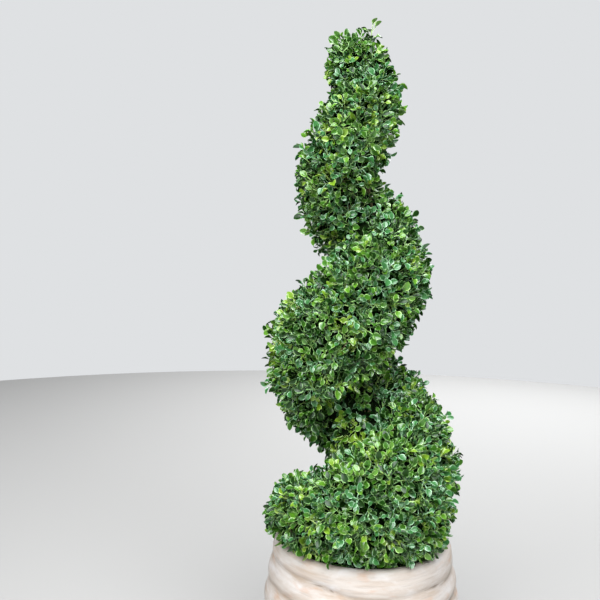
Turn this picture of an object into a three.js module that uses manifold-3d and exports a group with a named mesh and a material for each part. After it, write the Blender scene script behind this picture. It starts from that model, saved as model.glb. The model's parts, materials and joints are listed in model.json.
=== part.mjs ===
// A box plant clipped to a rising spiral round one stem, growing in a hand-thrown clay pot.
// Millimetres, +Z up. The origin is the centre of the pot's flat underside.
// Angles are in degrees, counterclockwise seen from above, and count on past 360 up the spiral.

import * as THREE from 'three';
import { LoftGeometry } from 'three/addons/geometries/LoftGeometry.js';
import { mergeVertices } from 'three/addons/utils/BufferGeometryUtils.js';
import Module from 'manifold-3d';

const wasm = await Module();
wasm.setup();

const DEGREE = Math.PI / 180;
const TOUCH = 0.3;
const JOIN_TOLERANCE = 0.05;

// The pot: a barrel with soft ridges, a rounded lip and a flat foot.
const POT_HEIGHT = 255;
const LIP_RADIUS = 124;
const BELLY_RADIUS = 145;
const FOOT_RADIUS = 104;
const WALL = 18;
const FLOOR = 20;
const RIDGE_PITCH = 33;
const RIDGE_DEPTH = 5;
const RIDGE_BACK = 0.8;
const FIRST_GROOVE = 28;
const RIDGES_START = 4;
const RIDGES_FULL = 20;
const WALL_THICKENS = [10, 40];
const SOIL_BELOW_LIP = 30;
const POT_FACETS = 36;
const WALL_DEPTHS = [45, 100, 180];
const FLOOR_DEPTH = POT_HEIGHT - FLOOR;
const SOIL_CLEAR = 0.7;

// The stem: planted a little off centre, leaning, thick at its foot. The crown is measured out
// from an upright axis through the middle of the stem.
const STEM_FOOT_X = -13;
const STEM_LEAN = -9;
const STEM_BEND = 2;
const CROWN_X = -17.5;
const STEM_FLARE_RADIUS = 17;
const STEM_RADIUS = 10.5;
const STEM_TIP_RADIUS = 2.6;
const FLARE_HEIGHT = 34;
const FLARE_STEPS = [0, 0.24, 0.53, 1];
const STEM_STEPS = 10;
const STEM_SIDES = 10;
const STEM_BELOW_TIP = 6;

// The strand of foliage that winds up the stem. Heights are above the lip; each triple gives
// the value at the start, in the middle and at the end of the strand.
const STRAND_START = 228;
const STRAND_SWEEP = 919;
const STRAND_STEP = 7.5;
const STRAND_FOOT = -11;
const STRAND_HEAD = 653;
const STRAND_EASE = 0.26;
const STRAND_ORBIT = [102, 42, 10];
const STRAND_WIDTH = [58, 64, 48];
const STRAND_TALL = [122, 84, 50];

// The strand's tail, below its start: how far it runs on, and how its section changes by its end.
const TAIL_SWEEP = 90;
const TAIL_RISE = 7;
const TAIL_INWARDS = 73;
const TAIL_WIDER = 1;
const TAIL_SHORTER = 54;

// The foliage close to the stem between the turns, and the overhang past the pot's lip.
const COLUMN_RADIUS = 35;
const LIP_OVERHANG = 2;
const OVERHANG_SLOPE = 0.5;

// The masses: the strand cut by upright planes, and the cuts between one turn and the next.
const FIRST_CUT = 165;
const MASS_SWEEP = 120;
const CUT_GAP = 6;
const SIDE_MARGIN = 0.8;
const CUT_MARGIN = 1.5;
const CROWN_TOP = 649;
const TIP_SPRIG = 18;
const LEAF_LAYER = 21;
const CORE_WALL = 6;
const CORE_SLICES = 8;
const CORE_ROW = 24;
const TIP_RINGS = 4;
const TIP_SIDES = 12;
const MOUTH_STEP = 2;
const BORE_CLEAR = 2;
const MOUTH_CLEAR = 4;
const LIP_CLEAR = 3;
const POT_MARGIN = 2;

// The bough inside each mass: its foot and its other points as shares of the mass's height.
const BOUGH_FOOT = 0.15;
const BOUGH_SHARES = [0.18, 0.3, 0.45, 0.6, 0.75, 0.88];
const BOUGH_RADIUS = 3.6;
const BOUGH_END_RADIUS = 2.2;
const BOUGH_SIDES = 6;

// Twigs, which root in the bough and stand out of the core.
const TWIG_SPACING = 44;
const TWIG_PROUD = 11;
const TWIG_RADIUS = 1.8;
const TWIG_ROOT_RADIUS = 2.4;
const KNEE_RADIUS = 2.3;
const KNEE_DEPTH = 8;
const TWIG_SIDES = 3;
const TWIG_SWAY = 0.5;
const TWIG_LIFT = 0.25;
const TWIG_EDGE = 4;
const ROW_SWAY = 0.4;

// Leaves, larger than life so that a few hundred fill the crown. Each twig has a pair at its end
// and one leaf across, a little below.
const LEAF_LENGTH = 37;
const LEAF_LENGTH_SPREAD = 0.24;
const LEAF_WIDTH = 0.56;
const LEAF_SWELL = 0.35;
const LEAF_POLE = 0.1;
const LEAF_CUP = 0.07;
const LEAF_THICKNESS = 0.06;
const PAIR_BELOW_TIP = 1.5;
const LONE_BELOW_TIP = 6;
const PAIR_LEAN = 56;
const LONE_LEAN = 68;
const LEAN_SPREAD = 14;
const TURN_SPREAD = 40;
const LEAF_TRIES = 16;
const TRY_TURN = 25;
const TRY_LEAN = 10;
const ROOT_OVERLAP = 0.4;
const OVER_REACH = 7;
const SEED = 21;

// The masses of the spiral from its foot upwards; the tip is one more.
const massNames = [
	'foliage_turn1_left',
	'foliage_turn1_right',
	'foliage_turn1_back',
	'foliage_turn2_left',
	'foliage_turn2_right',
	'foliage_turn2_back',
	'foliage_turn3_left',
	'foliage_turn3_right',
];

const SOIL_TOP = POT_HEIGHT - SOIL_BELOW_LIP;
const CROWN_CUT = POT_HEIGHT + CROWN_TOP;
const CROWN_HEAD = POT_HEIGHT + STRAND_HEAD + STRAND_TALL[2];
const TIP_CORE_TOP = CROWN_HEAD + OVER_REACH - LEAF_LAYER;

// A repeatable stream of numbers from 0 to 1.
function randomStream(seed) {
	let state = seed;
	return () => {
		state = (state + 0x6d2b79f5) | 0;
		let t = Math.imul(state ^ (state >>> 15), 1 | state);
		t = (t + Math.imul(t ^ (t >>> 7), 61 | t)) ^ t;
		return ((t ^ (t >>> 14)) >>> 0) / 4294967296;
	};
}

// Parabola through three values at the start, middle and end of 0 to 1.
function along([start, middle, end], t) {
	return start * (1 - t) * (1 - 2 * t) + middle * 4 * t * (1 - t) + end * t * (2 * t - 1);
}

// Solids and their joining.

function solidFrom(geometry) {
	geometry.deleteAttribute('normal');
	geometry.deleteAttribute('uv');
	const merged = mergeVertices(geometry, 1e-4);
	return new wasm.Manifold(new wasm.Mesh({
		numProp: 3,
		vertProperties: merged.attributes.position.array,
		triVerts: new Uint32Array(merged.index.array),
	}));
}

// Fuses solids into one body: sealed hollows are filled and loose scraps dropped.
function fuse(solids) {
	const bodies = wasm.Manifold.union(solids).setTolerance(JOIN_TOLERANCE).decompose();
	bodies.sort((a, b) => b.volume() - a.volume());
	const mesh = bodies[0].getMesh();
	const geometry = new THREE.BufferGeometry();
	geometry.setAttribute('position', new THREE.BufferAttribute(mesh.vertProperties, 3));
	geometry.setIndex(new THREE.BufferAttribute(mesh.triVerts, 1));
	return geometry;
}

// A closed skin over a row of sections.
function loft(sections) {
	const skin = new LoftGeometry(sections, { capStart: true, capEnd: true });
	return new THREE.BufferGeometry().copy(skin);
}

// A tapering limb with regular sides along a line of points. Its first cut faces `heading`.
function limb(points, radii, sides, heading) {
	const tangents = points.map((point, i) => {
		if (i === 0) return heading.clone();
		const next = points[Math.min(i + 1, points.length - 1)];
		return next.clone().sub(points[i - 1]).normalize();
	});
	const across = new THREE.Vector3(0, 0, 1).cross(tangents[0]);
	if (across.lengthSq() < 0.01) across.set(1, 0, 0);
	const sections = points.map((point, i) => {
		across.addScaledVector(tangents[i], -across.dot(tangents[i])).normalize();
		const other = new THREE.Vector3().crossVectors(tangents[i], across);
		return Array.from({ length: sides }, (_, k) => {
			const angle = (2 * Math.PI * k) / sides;
			return point.clone()
				.addScaledVector(across, radii[i] * Math.cos(angle))
				.addScaledVector(other, radii[i] * Math.sin(angle));
		});
	});
	return loft(sections);
}

// The pot and its filling.

// Crest line of the ridges from the lip down to the foot, radius against depth.
const crestLine = new THREE.SplineCurve([
	new THREE.Vector2(LIP_RADIUS, 0),
	new THREE.Vector2(LIP_RADIUS + 9, 45),
	new THREE.Vector2(BELLY_RADIUS - 4, 100),
	new THREE.Vector2(BELLY_RADIUS, 152),
	new THREE.Vector2(BELLY_RADIUS - 3, 190),
	new THREE.Vector2(BELLY_RADIUS - 15, 226),
	new THREE.Vector2(FOOT_RADIUS, POT_HEIGHT),
]);
const crestPoints = crestLine.getPoints(120);

function crestRadius(depth) {
	const next = crestPoints.findIndex((point) => point.y >= depth);
	if (next < 1) return next === 0 ? crestPoints[0].x : FOOT_RADIUS;
	const [a, b] = [crestPoints[next - 1], crestPoints[next]];
	return THREE.MathUtils.lerp(a.x, b.x, (depth - a.y) / (b.y - a.y));
}

// Round-backed ridges with narrow grooves between them.
function outerRadius(depth) {
	const wave = Math.abs(Math.sin((Math.PI * (depth - FIRST_GROOVE)) / RIDGE_PITCH));
	const fade = THREE.MathUtils.smoothstep(depth, RIDGES_START, RIDGES_FULL);
	return crestRadius(depth) - fade * RIDGE_DEPTH * (1 - wave ** RIDGE_BACK);
}

function innerRadius(depth) {
	return crestRadius(depth) - WALL - RIDGE_DEPTH * THREE.MathUtils.smoothstep(depth, ...WALL_THICKENS);
}

function potGeometry() {
	const lipRound = WALL / 2;
	const profile = [new THREE.Vector2(0, FLOOR)];
	for (const depth of [FLOOR_DEPTH, ...WALL_DEPTHS.toReversed(), lipRound]) {
		profile.push(new THREE.Vector2(innerRadius(depth), POT_HEIGHT - depth));
	}
	for (const turn of [45, 90, 135]) {
		const x = LIP_RADIUS - lipRound - lipRound * Math.cos(turn * DEGREE);
		profile.push(new THREE.Vector2(x, POT_HEIGHT - lipRound + lipRound * Math.sin(turn * DEGREE)));
	}
	const step = RIDGE_PITCH / 3;
	for (let depth = FIRST_GROOVE - step; depth < POT_HEIGHT - step / 2; depth += step) {
		profile.push(new THREE.Vector2(outerRadius(depth), POT_HEIGHT - depth));
	}
	profile.push(new THREE.Vector2(FOOT_RADIUS, 0));
	profile.push(new THREE.Vector2(0, 0));
	return new THREE.LatheGeometry(profile.reverse(), POT_FACETS).rotateX(Math.PI / 2);
}

function soilGeometry() {
	const profile = [new THREE.Vector2(0, SOIL_TOP)];
	for (const depth of [SOIL_BELOW_LIP, ...WALL_DEPTHS]) {
		profile.push(new THREE.Vector2(innerRadius(depth) - SOIL_CLEAR, POT_HEIGHT - depth));
	}
	profile.push(new THREE.Vector2(innerRadius(FLOOR_DEPTH) - SOIL_CLEAR, FLOOR + TOUCH));
	profile.push(new THREE.Vector2(0, FLOOR + TOUCH));
	return new THREE.LatheGeometry(profile.reverse(), POT_FACETS).rotateX(Math.PI / 2);
}

// The stem.

// Centre of the stem at a height above the ground.
function stemCentre(z) {
	const rise = (z - SOIL_TOP) / (CROWN_CUT - SOIL_TOP);
	const bend = STEM_BEND * Math.sin(2 * Math.PI * rise);
	return new THREE.Vector3(STEM_FOOT_X + STEM_LEAN * rise + bend / 2, bend, z);
}

function stemRadius(z) {
	const above = z - SOIL_TOP;
	const rise = above / (CROWN_CUT - SOIL_TOP);
	const flare = (STEM_FLARE_RADIUS - STEM_RADIUS) * Math.exp(-3 * above / FLARE_HEIGHT);
	return THREE.MathUtils.lerp(STEM_RADIUS, STEM_TIP_RADIUS, rise) + flare;
}

const stemTop = CROWN_CUT - STEM_BELOW_TIP;

function stemGeometry() {
	const foot = SOIL_TOP + TOUCH;
	const heights = FLARE_STEPS.map((share) => foot + share * FLARE_HEIGHT);
	for (let i = 1; i <= STEM_STEPS; i++) {
		heights.push(THREE.MathUtils.lerp(foot + FLARE_HEIGHT, stemTop, i / STEM_STEPS));
	}
	const points = heights.map(stemCentre);
	return limb(points, heights.map(stemRadius), STEM_SIDES, new THREE.Vector3(0, 0, 1));
}

// The strand and the crown's outline.

// Cross-section of the strand at an angle: height above the lip, orbit and half sizes.
function strandAt(angle) {
	const t = Math.max(0, (angle - STRAND_START) / STRAND_SWEEP);
	const eased = t + STRAND_EASE * t * (1 - t);
	const section = {
		angle,
		height: THREE.MathUtils.lerp(STRAND_FOOT, STRAND_HEAD, eased),
		orbit: along(STRAND_ORBIT, t),
		width: along(STRAND_WIDTH, t),
		tall: along(STRAND_TALL, t),
	};
	const tail = Math.max(0, (STRAND_START - angle) / TAIL_SWEEP);
	section.height += TAIL_RISE * tail;
	section.orbit -= TAIL_INWARDS * tail;
	section.width += TAIL_WIDER * tail;
	section.tall -= TAIL_SHORTER * tail;
	return section;
}

const strandSections = [];
for (let angle = STRAND_START - TAIL_SWEEP; angle <= STRAND_START + STRAND_SWEEP; angle += STRAND_STEP) {
	strandSections.push(strandAt(angle));
}

// Distance from the crown's axis, at an angle, to the far side of a circle.
function toCircle(angle, x, y, radius) {
	const cos = Math.cos(angle * DEGREE);
	const sin = Math.sin(angle * DEGREE);
	const ahead = (x - CROWN_X) * cos + y * sin;
	const aside = (x - CROWN_X) * sin - y * cos;
	if (Math.abs(aside) >= radius) return 0;
	return ahead + Math.sqrt(radius * radius - aside * aside);
}

// How far the clipped crown reaches from its axis at an angle and height.
function crownReach(angle, z) {
	const height = z - POT_HEIGHT;
	const centre = stemCentre(z);
	let reach = toCircle(angle, centre.x, centre.y, COLUMN_RADIUS);
	for (const part of strandSections) {
		const level = (height - part.height) / part.tall;
		if (Math.abs(level) >= 1) continue;
		const x = centre.x + part.orbit * Math.cos(part.angle * DEGREE);
		const y = centre.y + part.orbit * Math.sin(part.angle * DEGREE);
		reach = Math.max(reach, toCircle(angle, x, y, part.width * Math.sqrt(1 - level * level)));
	}
	const wall = LIP_RADIUS + LIP_OVERHANG + OVERHANG_SLOPE * Math.max(0, height);
	return Math.min(reach, toCircle(angle, 0, 0, wall));
}

// Radius of the bore that the stem runs up in.
function boreReach(z) {
	const centre = stemCentre(z);
	return Math.hypot(centre.x - CROWN_X, centre.y) + stemRadius(z) + BORE_CLEAR;
}

function coreReach(angle, z) {
	return Math.max(crownReach(angle, z) - LEAF_LAYER, boreReach(z) + CORE_WALL);
}

// Height of the cut between the strand at an angle and the next turn above it.
function cutHeight(angle) {
	const lower = strandAt(angle);
	const upper = strandAt(angle + 360);
	return POT_HEIGHT + (lower.height + lower.tall + upper.height - upper.tall) / 2;
}

const SPIRAL_END = FIRST_CUT + massNames.length * MASS_SWEEP;

// The own space of one mass: a sector of the crown between two cuts.
function massSpace(from, to) {
	const middle = (from + to) / 2;
	const first = middle < FIRST_CUT + 360;
	const last = middle > SPIRAL_END - 360;
	return {
		from,
		to,
		middle,
		first,
		bottom: (angle) => (first ? SOIL_TOP + TOUCH : cutHeight(angle - 360) + CUT_GAP / 2),
		top: (angle) => (last ? CROWN_CUT : cutHeight(angle) - CUT_GAP / 2),
	};
}

// A point at an angle, a distance from the crown's axis and a height.
function sectorPoint(angle, radius, z) {
	const turn = angle * DEGREE;
	return new THREE.Vector3(CROWN_X + radius * Math.cos(turn), radius * Math.sin(turn), z);
}

// The dense inner body of a mass: upright sections swept round the stem.
function coreGeometry(space) {
	const rows = Math.round((space.top(space.middle) - space.bottom(space.middle)) / CORE_ROW);
	const sections = [];
	for (let i = 0; i <= CORE_SLICES; i++) {
		const angle = THREE.MathUtils.lerp(space.from, space.to, i / CORE_SLICES);
		const bottom = space.bottom(angle);
		const top = space.top(angle);
		const outerFoot = space.first ? POT_HEIGHT + LIP_CLEAR : bottom;
		const outline = [bottom, (bottom + top) / 2, top].map((z) => [boreReach(z), z]);
		outline.push([(boreReach(top) + coreReach(angle, top)) / 2, top]);
		for (let k = 0; k <= rows; k++) {
			const z = THREE.MathUtils.lerp(top, outerFoot, k / rows);
			outline.push([coreReach(angle, z), z]);
		}
		const footReach = coreReach(angle, outerFoot);
		if (space.first) {
			const wall = toCircle(angle, 0, 0, LIP_RADIUS - WALL - MOUTH_CLEAR);
			const mouth = Math.min(wall, footReach - MOUTH_STEP);
			outline.push([mouth, outerFoot], [mouth, bottom]);
		} else {
			outline.push([(boreReach(bottom) + footReach) / 2, bottom]);
		}
		const inset = i === 0 ? TOUCH / 2 : i === CORE_SLICES ? -TOUCH / 2 : 0;
		const sideways = new THREE.Vector3(-Math.sin(angle * DEGREE), Math.cos(angle * DEGREE), 0);
		sections.push(outline.map(([r, z]) => sectorPoint(angle, r, z).addScaledVector(sideways, inset)));
	}
	return loft(sections);
}

// The tip's core: rings closing towards the top.
function tipCoreGeometry(space, reach) {
	const sections = [];
	for (let i = 0; i <= TIP_RINGS; i++) {
		const z = THREE.MathUtils.lerp(space.bottom(0), TIP_CORE_TOP, i / TIP_RINGS);
		const ring = Array.from({ length: TIP_SIDES }, (_, k) => {
			const angle = (k * 360) / TIP_SIDES;
			return sectorPoint(angle, reach(angle, z), z);
		});
		sections.push(ring);
	}
	return loft(sections);
}

// Leaves and twigs.

// Spoon-shaped leaf of unit length along +Y with its root at the origin: a five-sided outline,
// widest beyond its middle, over a cupped face and back.
const unitLeaf = (() => {
	const leaf = new THREE.SphereGeometry(1, 5, 2, Math.PI / 2).rotateX(Math.PI / 2);
	const position = leaf.attributes.position;
	for (let i = 0; i < position.count; i++) {
		const side = position.getX(i);
		const forward = position.getY(i);
		const isPole = Math.abs(position.getZ(i)) > 0.5;
		const isBack = position.getZ(i) < 0;
		const swelled = isPole ? LEAF_POLE : forward + LEAF_SWELL * (1 - forward * forward);
		const drop = isPole ? LEAF_CUP + (isBack ? LEAF_THICKNESS : 0) : 0;
		position.setXYZ(i, (side * LEAF_WIDTH) / 2, (swelled + 1) / 2, -drop);
	}
	return leaf;
})();

// Places where a leaf is tested against its space, across and along it; the first is its middle.
const leafProbes = [[0, 0.5], [0, 1]];
for (const side of [-0.5, 0.5]) {
	leafProbes.push([side * LEAF_WIDTH, 0.95], [side * LEAF_WIDTH, 0.5]);
	leafProbes.push([0.7 * side * LEAF_WIDTH, 0.75], [0.5 * side * LEAF_WIDTH, 0.28]);
}

function leafFrame(root, direction, outward, length) {
	const side = new THREE.Vector3().crossVectors(direction, outward).normalize();
	const face = new THREE.Vector3().crossVectors(side, direction);
	const frame = new THREE.Matrix4().makeBasis(side, direction, face);
	frame.scale(new THREE.Vector3(length, length, length));
	return frame.setPosition(root);
}

// Angle of a point round the crown's axis, counted up the spiral to fall near a mass's middle.
function spiralAngle(point, middle) {
	const angle = Math.atan2(point.y, point.x - CROWN_X) / DEGREE;
	return angle + 360 * Math.round((middle - angle) / 360);
}

function clearOfPot(point) {
	const radius = Math.hypot(point.x, point.y);
	const depth = POT_HEIGHT - point.z;
	if (depth < -POT_MARGIN) return true;
	if (radius < LIP_RADIUS) return radius < innerRadius(depth) - POT_MARGIN;
	return radius > outerRadius(Math.max(0, depth)) + POT_MARGIN;
}

// True where a point lies in a mass's own space, clear of its neighbours, the stem and the pot.
function inOwnSpace(point, space) {
	const radius = Math.hypot(point.x - CROWN_X, point.y);
	const angle = spiralAngle(point, space.middle);
	if (!space.round) {
		const fromStart = radius * Math.sin((angle - space.from) * DEGREE);
		const toEnd = radius * Math.sin((space.to - angle) * DEGREE);
		if (angle < space.from || angle > space.to || Math.min(fromStart, toEnd) < SIDE_MARGIN) return false;
	}
	if (point.z < space.bottom(angle) + CUT_MARGIN || point.z > space.top(angle) - CUT_MARGIN) return false;
	if (radius > crownReach(angle, point.z) + OVER_REACH) return false;
	if (!space.round && radius < boreReach(point.z) + 1) return false;
	return clearOfPot(point);
}

// Outward direction of the core's surface, from two short steps along it.
function outwardAt(angle, z, reach) {
	const step = 4;
	const point = sectorPoint(angle, reach(angle, z), z);
	const round = sectorPoint(angle + step, reach(angle + step, z), z).sub(point);
	const up = sectorPoint(angle, reach(angle, z + step), z + step).sub(point);
	return round.cross(up).normalize();
}

// Evenly strewn places over the outside of a mass, each with the way out of the mass there.
function twigPlaces(space, reach, random) {
	const places = [...space.crest];
	const height = space.outerTop(space.middle) - space.outerBottom(space.middle);
	const rows = Math.round(height / TWIG_SPACING);
	for (let row = 0; row < rows; row++) {
		const v = (row + 0.5) / rows;
		const z = THREE.MathUtils.lerp(space.outerBottom(space.middle), space.outerTop(space.middle), v);
		const girth = reach(space.middle, z) * (space.to - space.from) * DEGREE;
		const count = Math.max(1, Math.round(girth / TWIG_SPACING));
		for (let k = 0; k < count; k++) {
			const u = (k + 0.5 + TWIG_SWAY * (random() - 0.5)) / count;
			const angle = THREE.MathUtils.lerp(space.from, space.to, u);
			const w = v + (ROW_SWAY * (random() - 0.5)) / rows;
			const level = THREE.MathUtils.lerp(space.outerBottom(angle), space.outerTop(angle), w);
			const surface = sectorPoint(angle, reach(angle, level), level);
			places.push({ surface, outward: outwardAt(angle, level, reach) });
		}
	}
	return places;
}

// A leaf that fits its space and meets no other leaf and no core away from its root.
function fittingLeaf(frame, space, others) {
	const probes = leafProbes.map(([x, y]) => new THREE.Vector3(x, y, 0).applyMatrix4(frame));
	if (!probes.every((probe) => inOwnSpace(probe, space))) return null;
	const solid = solidFrom(unitLeaf.clone().applyMatrix4(frame));
	const heart = probes[0];
	const near = others.filter((other) => other.heart.distanceTo(heart) < LEAF_LENGTH);
	const crowded = near.some((other) => solid.intersect(other.solid).volume() > ROOT_OVERLAP);
	if (crowded || !solid.intersect(space.core).isEmpty()) return null;
	return { solid, heart };
}

// A pair of leaves at the end of a twig and one across below; a leaf is tried a few ways and
// may be skipped.
function leavesOn(twigTip, axis, outward, space, others, random) {
	const leaves = [];
	const across = new THREE.Vector3(random() - 0.5, random() - 0.5, random() - 0.5).cross(axis).normalize();
	for (let k = 0; k < 3; k++) {
		const isPair = k < 2;
		const root = twigTip.clone().addScaledVector(axis, isPair ? -PAIR_BELOW_TIP : -LONE_BELOW_TIP);
		for (let attempt = 0; attempt < LEAF_TRIES; attempt++) {
			const turn = k * 180 + (isPair ? 0 : 90) + TURN_SPREAD * (random() - 0.5) + attempt * TRY_TURN;
			const spread = LEAN_SPREAD * (random() - 0.5) + TRY_LEAN * (attempt % 3);
			const lean = (isPair ? PAIR_LEAN : LONE_LEAN) + spread;
			const direction = across.clone().applyAxisAngle(axis, turn * DEGREE);
			direction.multiplyScalar(Math.sin(lean * DEGREE)).addScaledVector(axis, Math.cos(lean * DEGREE));
			const length = LEAF_LENGTH * (1 + LEAF_LENGTH_SPREAD * (random() - 0.5));
			const frame = leafFrame(root, direction, outward, length);
			const leaf = fittingLeaf(frame, space, [...others, ...leaves]);
			if (leaf === null) continue;
			leaves.push(leaf);
			break;
		}
	}
	return leaves;
}

function nearestOf(points, place) {
	return points.reduce((a, b) => (a.distanceTo(place) < b.distanceTo(place) ? a : b));
}

// Everything that grows in a mass: its core, one stem from the trunk, the twigs that branch
// from the stem and stand out of the core, and their leaves.
function growth(space, reach, stemPoints, seed) {
	const random = randomStream(seed);
	const last = stemPoints.length - 1;
	const stemRadii = stemPoints.map((_, i) => THREE.MathUtils.lerp(BOUGH_RADIUS, BOUGH_END_RADIUS, i / last));
	const limbs = [solidFrom(limb(stemPoints, stemRadii, BOUGH_SIDES, space.heading))];
	const leaves = [];
	for (const { surface, outward } of twigPlaces(space, reach, random)) {
		const axis = outward.clone().add(new THREE.Vector3(
			TWIG_SWAY * (random() - 0.5),
			TWIG_SWAY * (random() - 0.5),
			TWIG_LIFT * random(),
		)).normalize();
		const tip = surface.clone().addScaledVector(axis, TWIG_PROUD * (0.85 + 0.3 * random()));
		if (!inOwnSpace(tip, space)) continue;
		const grown = leavesOn(tip, axis, outward, space, leaves, random);
		if (grown.length === 0) continue;
		leaves.push(...grown);
		const knee = surface.clone().addScaledVector(axis, -KNEE_DEPTH);
		const root = nearestOf(stemPoints.slice(1), surface);
		const heading = knee.clone().sub(root).normalize();
		const radii = [TWIG_ROOT_RADIUS, KNEE_RADIUS, TWIG_RADIUS];
		limbs.push(solidFrom(limb([root, knee, tip], radii, TWIG_SIDES, heading)));
	}
	return [space.core, ...limbs, ...leaves.map((leaf) => leaf.solid)];
}

const foliageMaterial = new THREE.MeshStandardMaterial({ color: 0x3f7a2c, roughness: 0.45, metalness: 0 });

// One mass of the spiral.
function spiralMass(index) {
	const space = massSpace(FIRST_CUT + index * MASS_SWEEP, FIRST_CUT + (index + 1) * MASS_SWEEP);
	space.outerBottom = (angle) => (space.first ? POT_HEIGHT + 2 * TWIG_EDGE : space.bottom(angle) + TWIG_EDGE);
	space.outerTop = (angle) => space.top(angle) - TWIG_EDGE;
	space.crest = [];
	space.heading = sectorPoint(space.middle, 1, 0).sub(sectorPoint(space.middle, 0, 0));
	const heightAt = (t) => THREE.MathUtils.lerp(space.bottom(space.middle), space.top(space.middle), t);
	const foot = heightAt(BOUGH_FOOT);
	const stemPoints = [stemCentre(foot).addScaledVector(space.heading, stemRadius(foot) + TOUCH + 0.1)];
	for (const t of BOUGH_SHARES) {
		const z = heightAt(t);
		stemPoints.push(sectorPoint(space.middle, (boreReach(z) + coreReach(space.middle, z)) / 2, z));
	}
	space.core = solidFrom(coreGeometry(space));
	return fuse(growth(space, coreReach, stemPoints, SEED + index));
}

// The tip: a small round mass on the end of the stem, with one twig standing on its top.
function tipMass() {
	const up = new THREE.Vector3(0, 0, 1);
	const space = {
		from: 0,
		to: 360,
		middle: 180,
		first: false,
		round: true,
		bottom: () => CROWN_CUT + TOUCH,
		top: () => CROWN_HEAD + TIP_SPRIG,
		outerBottom: () => CROWN_CUT + TWIG_EDGE,
		outerTop: () => TIP_CORE_TOP,
		heading: up,
		crest: [{ surface: sectorPoint(0, 0, TIP_CORE_TOP + KNEE_DEPTH), outward: up }],
	};
	const reach = (angle, z) => Math.max(CORE_WALL, crownReach(angle, z) - LEAF_LAYER);
	const stemPoints = [stemTop + TOUCH, CROWN_CUT + 8, CROWN_CUT + 24].map(stemCentre);
	space.core = solidFrom(tipCoreGeometry(space, reach));
	return fuse(growth(space, reach, stemPoints, SEED + massNames.length));
}

const topiary = new THREE.Group();

function addPart(name, geometry, material) {
	const mesh = new THREE.Mesh(geometry, material);
	mesh.name = name;
	topiary.add(mesh);
}

const clay = new THREE.MeshStandardMaterial({ color: 0xcdbfa8, roughness: 0.9, metalness: 0 });
const earth = new THREE.MeshStandardMaterial({ color: 0x3a2c20, roughness: 1, metalness: 0 });
const bark = new THREE.MeshStandardMaterial({ color: 0x6b5a44, roughness: 0.85, metalness: 0 });

addPart('pot', potGeometry(), clay);
addPart('soil', soilGeometry(), earth);
addPart('trunk', stemGeometry(), bark);

massNames.forEach((name, index) => addPart(name, spiralMass(index), foliageMaterial));
addPart('foliage_tip', tipMass(), foliageMaterial);

export default topiary;
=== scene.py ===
"""Looks of a spiral box plant growing in a hand-thrown, whitewashed clay pot.

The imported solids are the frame. The pot, its soil, the stem, the boughs, twigs and leaves are all
made around them, on the same sizes, and ride on the one body. Lengths held as fields or constants
are millimetres and angles are degrees, counterclockwise seen from above and counting on past 360
up the spiral; `MM` turns lengths into the scene's metres.
"""

import json
import logging
import math
from dataclasses import dataclass, field, fields
from enum import Enum

import bmesh
import bpy
import numpy as np
from mathutils import Matrix, Vector, noise

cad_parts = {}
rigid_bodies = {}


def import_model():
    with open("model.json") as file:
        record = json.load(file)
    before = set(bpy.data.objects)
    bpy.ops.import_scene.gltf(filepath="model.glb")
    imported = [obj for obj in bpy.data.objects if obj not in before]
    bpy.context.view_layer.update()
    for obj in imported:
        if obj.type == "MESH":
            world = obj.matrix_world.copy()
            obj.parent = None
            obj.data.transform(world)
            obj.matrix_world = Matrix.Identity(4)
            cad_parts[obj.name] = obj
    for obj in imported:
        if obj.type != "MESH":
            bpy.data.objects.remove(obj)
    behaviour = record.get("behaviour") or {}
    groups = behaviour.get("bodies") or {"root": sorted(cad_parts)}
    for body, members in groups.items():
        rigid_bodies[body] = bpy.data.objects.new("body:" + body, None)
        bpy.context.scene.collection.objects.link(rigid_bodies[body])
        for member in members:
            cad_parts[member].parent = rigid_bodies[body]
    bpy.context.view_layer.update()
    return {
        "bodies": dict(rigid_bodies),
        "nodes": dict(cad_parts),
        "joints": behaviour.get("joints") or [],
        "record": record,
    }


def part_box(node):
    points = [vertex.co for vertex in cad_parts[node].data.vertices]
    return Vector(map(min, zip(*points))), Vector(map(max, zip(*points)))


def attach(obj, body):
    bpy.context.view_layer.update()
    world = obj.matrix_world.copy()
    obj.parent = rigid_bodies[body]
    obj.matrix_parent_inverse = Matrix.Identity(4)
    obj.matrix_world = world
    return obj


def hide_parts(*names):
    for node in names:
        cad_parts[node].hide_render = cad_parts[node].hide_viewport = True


LOG = logging.getLogger("spiral_box")
MM = 0.001
BODY = "root"
PLAIN_GLOSS = 0.5
UPWARD = np.array([0.0, 0.0, 1.0])
SECTORS = ("left", "right", "back")

# Sockets of the colour Mix node, which gives several sockets the same name.
MIX_FACTOR, MIX_A, MIX_B, MIX_RESULT = 0, 6, 7, 2


def linear(hex_colour: str) -> tuple[float, float, float, float]:
    """Turns an sRGB colour into the linear values that shaders take.

    Args:
        hex_colour: Colour as "#rrggbb".

    Returns:
        Linear red, green and blue, with an alpha of 1.
    """
    channels = [int(hex_colour[i:i + 2], 16) / 255 for i in (1, 3, 5)]
    values = (c / 12.92 if c <= 0.04045 else ((c + 0.055) / 1.055) ** 2.4 for c in channels)
    return *values, 1.0


def add_node(
    tree: bpy.types.NodeTree,
    kind: str,
    settings: dict | None = None,
    links: dict | None = None,
) -> bpy.types.Node:
    """Adds one node with its settings and its links.

    Args:
        tree: Node tree that gets the node.
        kind: Blender's type name of the node.
        settings: Values by name. A number, or a name that a socket has, sets that input; any
            other name sets the node's own property.
        links: Output sockets by the name or number of the input that each one feeds.

    Returns:
        The new node.
    """
    node = tree.nodes.new(kind)
    for key, value in (settings or {}).items():
        if isinstance(key, int) or key in node.inputs:
            node.inputs[key].default_value = value
        else:
            setattr(node, key, value)
    for key, source in (links or {}).items():
        tree.links.new(source, node.inputs[key])
    return node


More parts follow.
